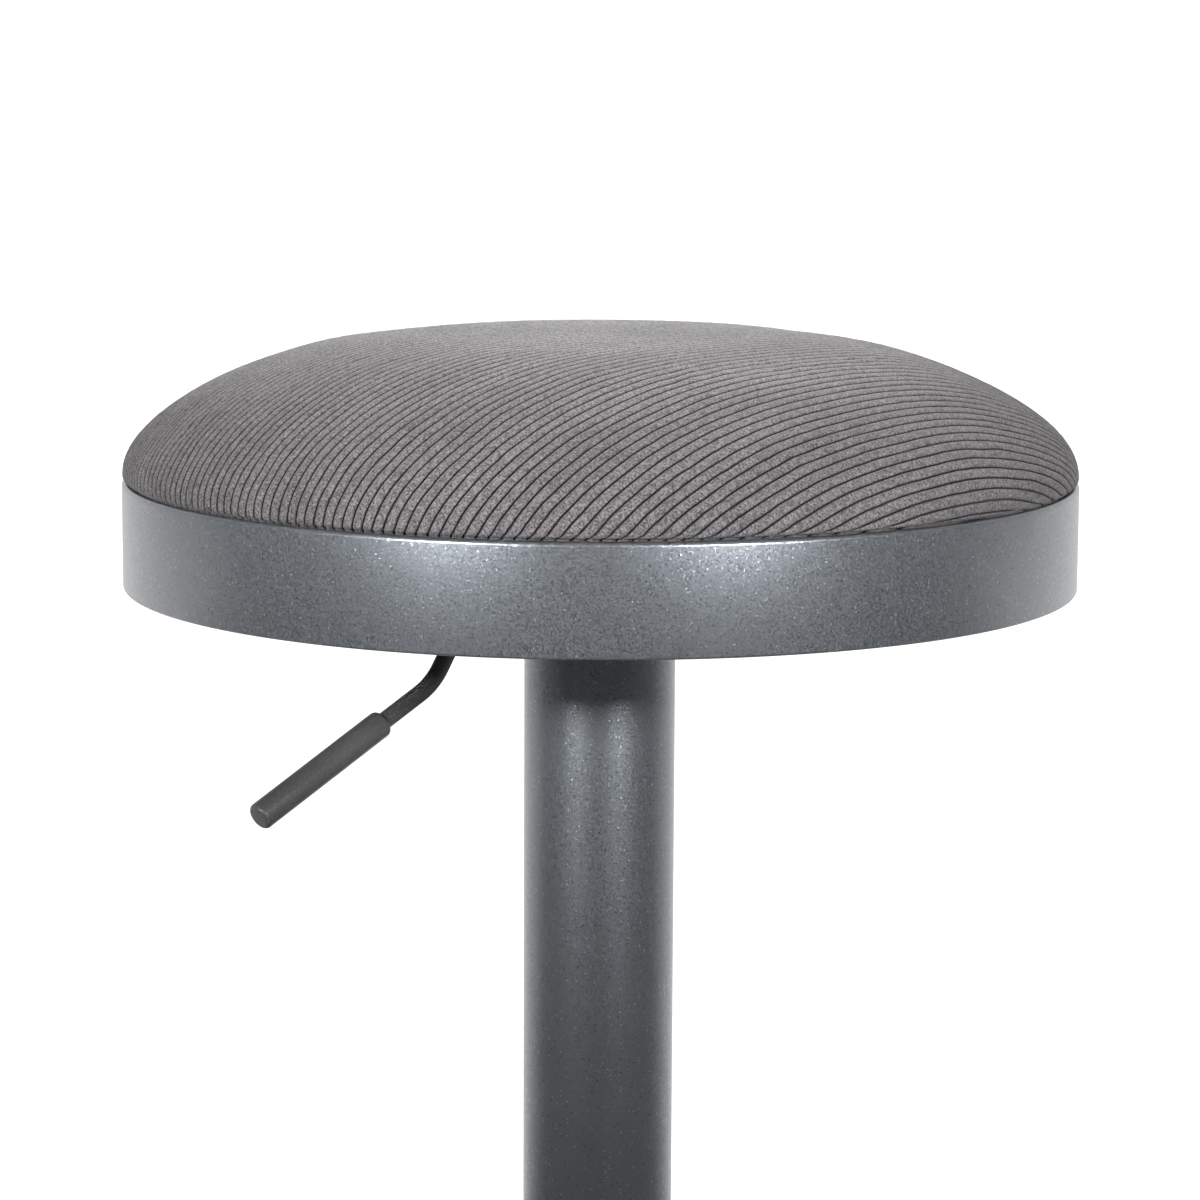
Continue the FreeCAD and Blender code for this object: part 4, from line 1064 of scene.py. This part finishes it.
@dataclass
class WeldBeads:
    """The welded seams of the footrest and the seat's frame, as overlapping beads along each joint."""

    shelf: FinishShelf
    step: float = 1.3 * MM
    size: float = 1.7 * MM
    points: int = 24
    spokes: int = 4
    hoop_wall: float = 2.5 * MM
    sunk: float = 0.3 * MM
    strap_from: float = 55 * MM
    strap_to: float = 85 * MM
    channel_half_long: float = 35 * MM
    channel_half_wide: float = 22 * MM
    channel_turn: float = math.radians(222)

    def bead_tree(self) -> bpy.types.NodeTree:
        """Return the tree that lays flattened beads along a path, each a little different."""
        bench, given = new_tree("weld_beads", {
            "Float": ("Step", "Size"), "Object": ("Path",), "Material": ("Finish",)})
        path = bench.geo("ObjectInfo", {"Object": given["Path"]}, "Geometry")
        places = bench.add("GeometryNodeCurveToPoints", {"Curve": path, "Length": given["Step"]},
                           mode="LENGTH").outputs
        bead = bench.geo("MeshIcoSphere", {"Radius": given["Size"], "Subdivisions": 2}, "Mesh")
        flat = bench.add("FunctionNodeRandomValue", {0: (0.9, 0.9, 0.55), 1: (1.1, 1.1, 0.75), "Seed": 7},
                         data_type="FLOAT_VECTOR").outputs[0]
        laid = bench.geo("InstanceOnPoints", {
            "Points": places["Points"], "Instance": bead, "Rotation": places["Rotation"], "Scale": flat})
        return bench.deliver(laid, given["Finish"])

    def path(self, lines: list[list[Vector]]) -> Item:
        """Return a curve object with one polyline for each line."""
        curve = bpy.data.curves.new("weld_path", "CURVE")
        curve.dimensions = "3D"
        for line in lines:
            spline = curve.splines.new("POLY")
            spline.points.add(len(line) - 1)
            for point, place in zip(spline.points, line):
                point.co = (*place, 1.0)
        return placed("weld_path", curve)

    def spoke_joints(self) -> list[list[Vector]]:
        """Return the joints of the footrest: each spoke to the hoop and to the collar."""
        low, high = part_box("footrest_ring")
        middle, tube = (low.z + high.z) / 2, (high.z - low.z) / 2
        reach = high.x - tube
        collar = outer_radius("footrest_collar")
        under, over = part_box("footrest_spokes")
        spoke = (over.z - under.z) / 2
        lines = []
        for turn in range(self.spokes):
            spin = Matrix.Rotation(math.tau * turn / self.spokes, 3, "Z")
            hoop_line, collar_line = [], []
            for index in range(self.points + 1):
                angle = math.tau * index / self.points
                across, up = spoke * math.cos(angle), spoke * math.sin(angle)
                inner = reach - math.sqrt(max(tube ** 2 - up ** 2, 0.0))
                for line, radius in ((hoop_line, inner), (collar_line, collar)):
                    out = math.sqrt(radius ** 2 - across ** 2)
                    line.append(spin @ Vector((out, across, middle + up)))
            lines += [hoop_line, collar_line]
        return lines

    def frame_joints(self) -> list[list[Vector]]:
        """Return the joints under the seat: straps to hoop, and the channel's sides to its plate."""
        low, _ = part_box("cross_straps")
        inside = outer_radius("seat_ring") - self.hoop_wall
        reach = self.strap_to - self.strap_from
        lines = []
        for sign in (1, -1):
            for side in (1, -1):
                line = []
                for index in range(11):
                    across = side * (self.strap_from + reach * index / 10)
                    out = math.sqrt(inside ** 2 - across ** 2) - self.sunk
                    line.append(Vector((sign * out, across, low.z)))
                lines.append(line)
        turn = Matrix.Rotation(self.channel_turn, 3, "Z")
        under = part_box("bracket_plate")[0].z
        for side in (1, -1):
            across = side * self.channel_half_wide
            ends = (-self.channel_half_long, self.channel_half_long)
            lines.append([turn @ Vector((along, across, under)) for along in ends])
        return lines

    def build(self) -> None:
        """Lay the beads on the footrest and under the seat."""
        tree = self.bead_tree()
        for name, lines, body, slot in (
                ("footrest_weld_beads", self.spoke_joints(), Body.BASE, "powder_steel"),
                ("seat_frame_weld_beads", self.frame_joints(), Body.SEAT, "black_steel")):
            path = self.path(lines)
            sizes = {"Path": path, "Step": self.step, "Size": self.size, "Finish": self.shelf.by_slot[slot]}
            mesh = grown(tree, sizes, name)
            bpy.data.objects.remove(path)
            self.shelf.dress(placed(name, mesh), body, slot)


# ---- carried-over pieces


@dataclass
class FramePieces:
    """The frame's own pieces: fair copies of the ones that show, and new finishes for the rest."""

    shelf: FinishShelf
    showing: tuple[str, ...] = (
        "base_pads", "flange_screws", "footrest_ring", "footrest_spokes", "footrest_collar",
        "collar_screws", "gas_cylinder", "taper_socket", "lift_channel", "bracket_plate", "bracket_bolts",
        "bolt_washers", "board_spacers", "tee_nuts", "cross_straps", "cover_staples", "pivot_pin",
        "pin_clip", "pivot_spacers", "lever_rocker", "lever_rod", "lever_handle", "valve_button",
        "piston_rod", "seat_board")
    charcoal: tuple[str, ...] = ("lever_rod", "lever_handle")

    def build(self) -> None:
        """Dress every node that no new piece stands for."""
        record = frame["record"]
        slots = {part["node"]: part["material_slot"] for part in record["subparts"]}
        bodies = record["behaviour"]["bodies"]
        body_of = {node: Body(body) for body, nodes in bodies.items() for node in nodes}
        for name, node in frame["nodes"].items():
            finish = self.shelf.handle if name in self.charcoal else self.shelf.by_slot[slots[name]]
            if name in self.showing:
                piece = self.fair_copy(name, node)
                self.shelf.dress(piece, body_of[name], slots[name], name, finish=finish)
            else:
                node.data.materials.clear()
                node.data.materials.append(finish)

    def fair_copy(self, name: str, node: Item) -> Item:
        """Return a merged, smooth-shaded copy of a node.

        Args:
            name: The node's name.
            node: The frame's object.

        Returns:
            The copy.
        """
        shape = bmesh.new()
        shape.from_mesh(node.data)
        bmesh.ops.remove_doubles(shape, verts=shape.verts, dist=0.002 * MM)
        return finished(f"{name}_piece", shape, 28.0)


# ---- studio


@dataclass(frozen=True)
class Softbox:
    """One square light: its bearing from the camera's side and elevation, in degrees, and its beam."""

    name: str
    bearing: float
    elevation: float
    distance: float
    size: float
    power: float
    spread: float = 180.0
    aim: float = 0.58
    tint: Colour = (0.94, 0.97, 1.0)


@dataclass
class Studio:
    """A pale floor, soft light and the camera."""

    lens: float = 116.07
    distance: float = 1.527
    above_lip: float = 0.1896
    pitch: float = math.radians(8.92)
    roll: float = math.radians(0.275)
    floor_radius: float = 7.0
    glow: float = 0.9
    glow_depth: float = 0.95
    front_light: float = 0.12
    side_light: float = 0.42
    back_light: float = 0.75
    lights: tuple[Softbox, ...] = (
        Softbox("left_softbox", -35.5, 16.0, 2.1, 0.42, 1.28, 14.0, 0.69),
        Softbox("right_softbox", 30.5, 16.0, 2.1, 0.42, 1.24, 14.0, 0.69),
        Softbox("top_softbox", 180.0, 72.0, 2.3, 1.6, 6.0, tint=(1.0, 1.0, 1.0)),
    )

    def build(self) -> None:
        """Lay the floor, hang the lights and set the camera."""
        self.floor()
        self.backdrop()
        for box in self.lights:
            self.softbox(box)
        self.camera()

    def floor(self) -> None:
        """Lay a wide pale floor that is lit from within behind the stool, as a light table is."""
        shape = bmesh.new()
        bmesh.ops.create_circle(shape, cap_ends=True, segments=128, radius=self.floor_radius)
        piece = finished("studio_floor", shape)
        finish, bench, shader = new_finish("pale_floor")
        where = bench.here()
        cloud = bench.noise(where, 1 / 0.6)
        tone = bench.blend(bench.span(cloud, 0.3, 0.7), (0.62, 0.62, 0.62, 1), (0.64, 0.64, 0.64, 1))
        glow = bench.span(bench.split(where)[1], 0.0, self.glow_depth, 0.0, self.glow, soft=True)
        bench.feed(shader, {"Base Color": tone, "Roughness": 0.7, "Emission Color": (1.0, 1.0, 1.0, 1.0),
                            "Emission Strength": glow})
        piece.data.materials.append(finish)

    def backdrop(self) -> None:
        """Light the surroundings: bright behind the stool, dimmer on the camera's side."""
        world = bpy.data.worlds.new("studio")
        world.use_nodes = True
        bench = Bench(world.node_tree)
        around = bench.add("ShaderNodeTexCoord").outputs["Generated"]
        _, ahead, _ = bench.split(around)
        sides = bench.span(ahead, -0.85, -0.05, self.front_light, self.side_light, soft=True)
        glow = bench.plus(sides, bench.span(ahead, 0.1, 0.9, 0.0, self.back_light, soft=True))
        bench.feed(world.node_tree.nodes["Background"], {"Color": bench.pack(glow, glow, glow)})
        bpy.context.scene.world = world

    def softbox(self, box: Softbox) -> None:
        """Hang one softbox that faces the seat."""
        data = bpy.data.lights.new(box.name, "AREA")
        data.size = box.size
        data.energy = box.power
        data.spread = math.radians(box.spread)
        data.color = box.tint
        light = placed(box.name, data)
        seat = Vector((0.0, 0.0, box.aim))
        bearing, elevation = math.radians(box.bearing), math.radians(box.elevation)
        flat = math.cos(elevation)
        away = Vector((math.sin(bearing) * flat, -math.cos(bearing) * flat, math.sin(elevation)))
        light.location = seat + away * box.distance
        light.rotation_euler = (-away).to_track_quat("-Z", "Y").to_euler()
        light.visible_camera = False

    def camera(self) -> None:
        """Set the camera in front of the seat, a little above its hoop."""
        data = bpy.data.cameras.new("camera")
        data.lens = self.lens
        data.sensor_width = 36.0
        data.clip_end = 100.0
        camera = placed("camera", data)
        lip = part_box("seat_ring")[1].z
        camera.location = (0.0, -self.distance, lip + self.above_lip)
        facing = Euler((math.pi / 2 - self.pitch, 0.0, 0.0)).to_matrix()
        camera.rotation_euler = (facing @ Matrix.Rotation(self.roll, 3, "Z")).to_euler()
        bpy.context.scene.camera = camera
        bpy.context.scene.view_settings.view_transform = "Standard"


def main() -> None:
    """Build the stool's looks and its studio."""
    logging.basicConfig(level=logging.INFO, format="%(name)s: %(message)s")
    shelf = FinishShelf()
    Cushion(shelf).build()
    SeatHoop(shelf).build()
    Column(shelf).build()
    FloorPlate(shelf).build()
    WeldBeads(shelf).build()
    FramePieces(shelf).build()
    Studio().build()


if __name__ == "__main__":
    main()
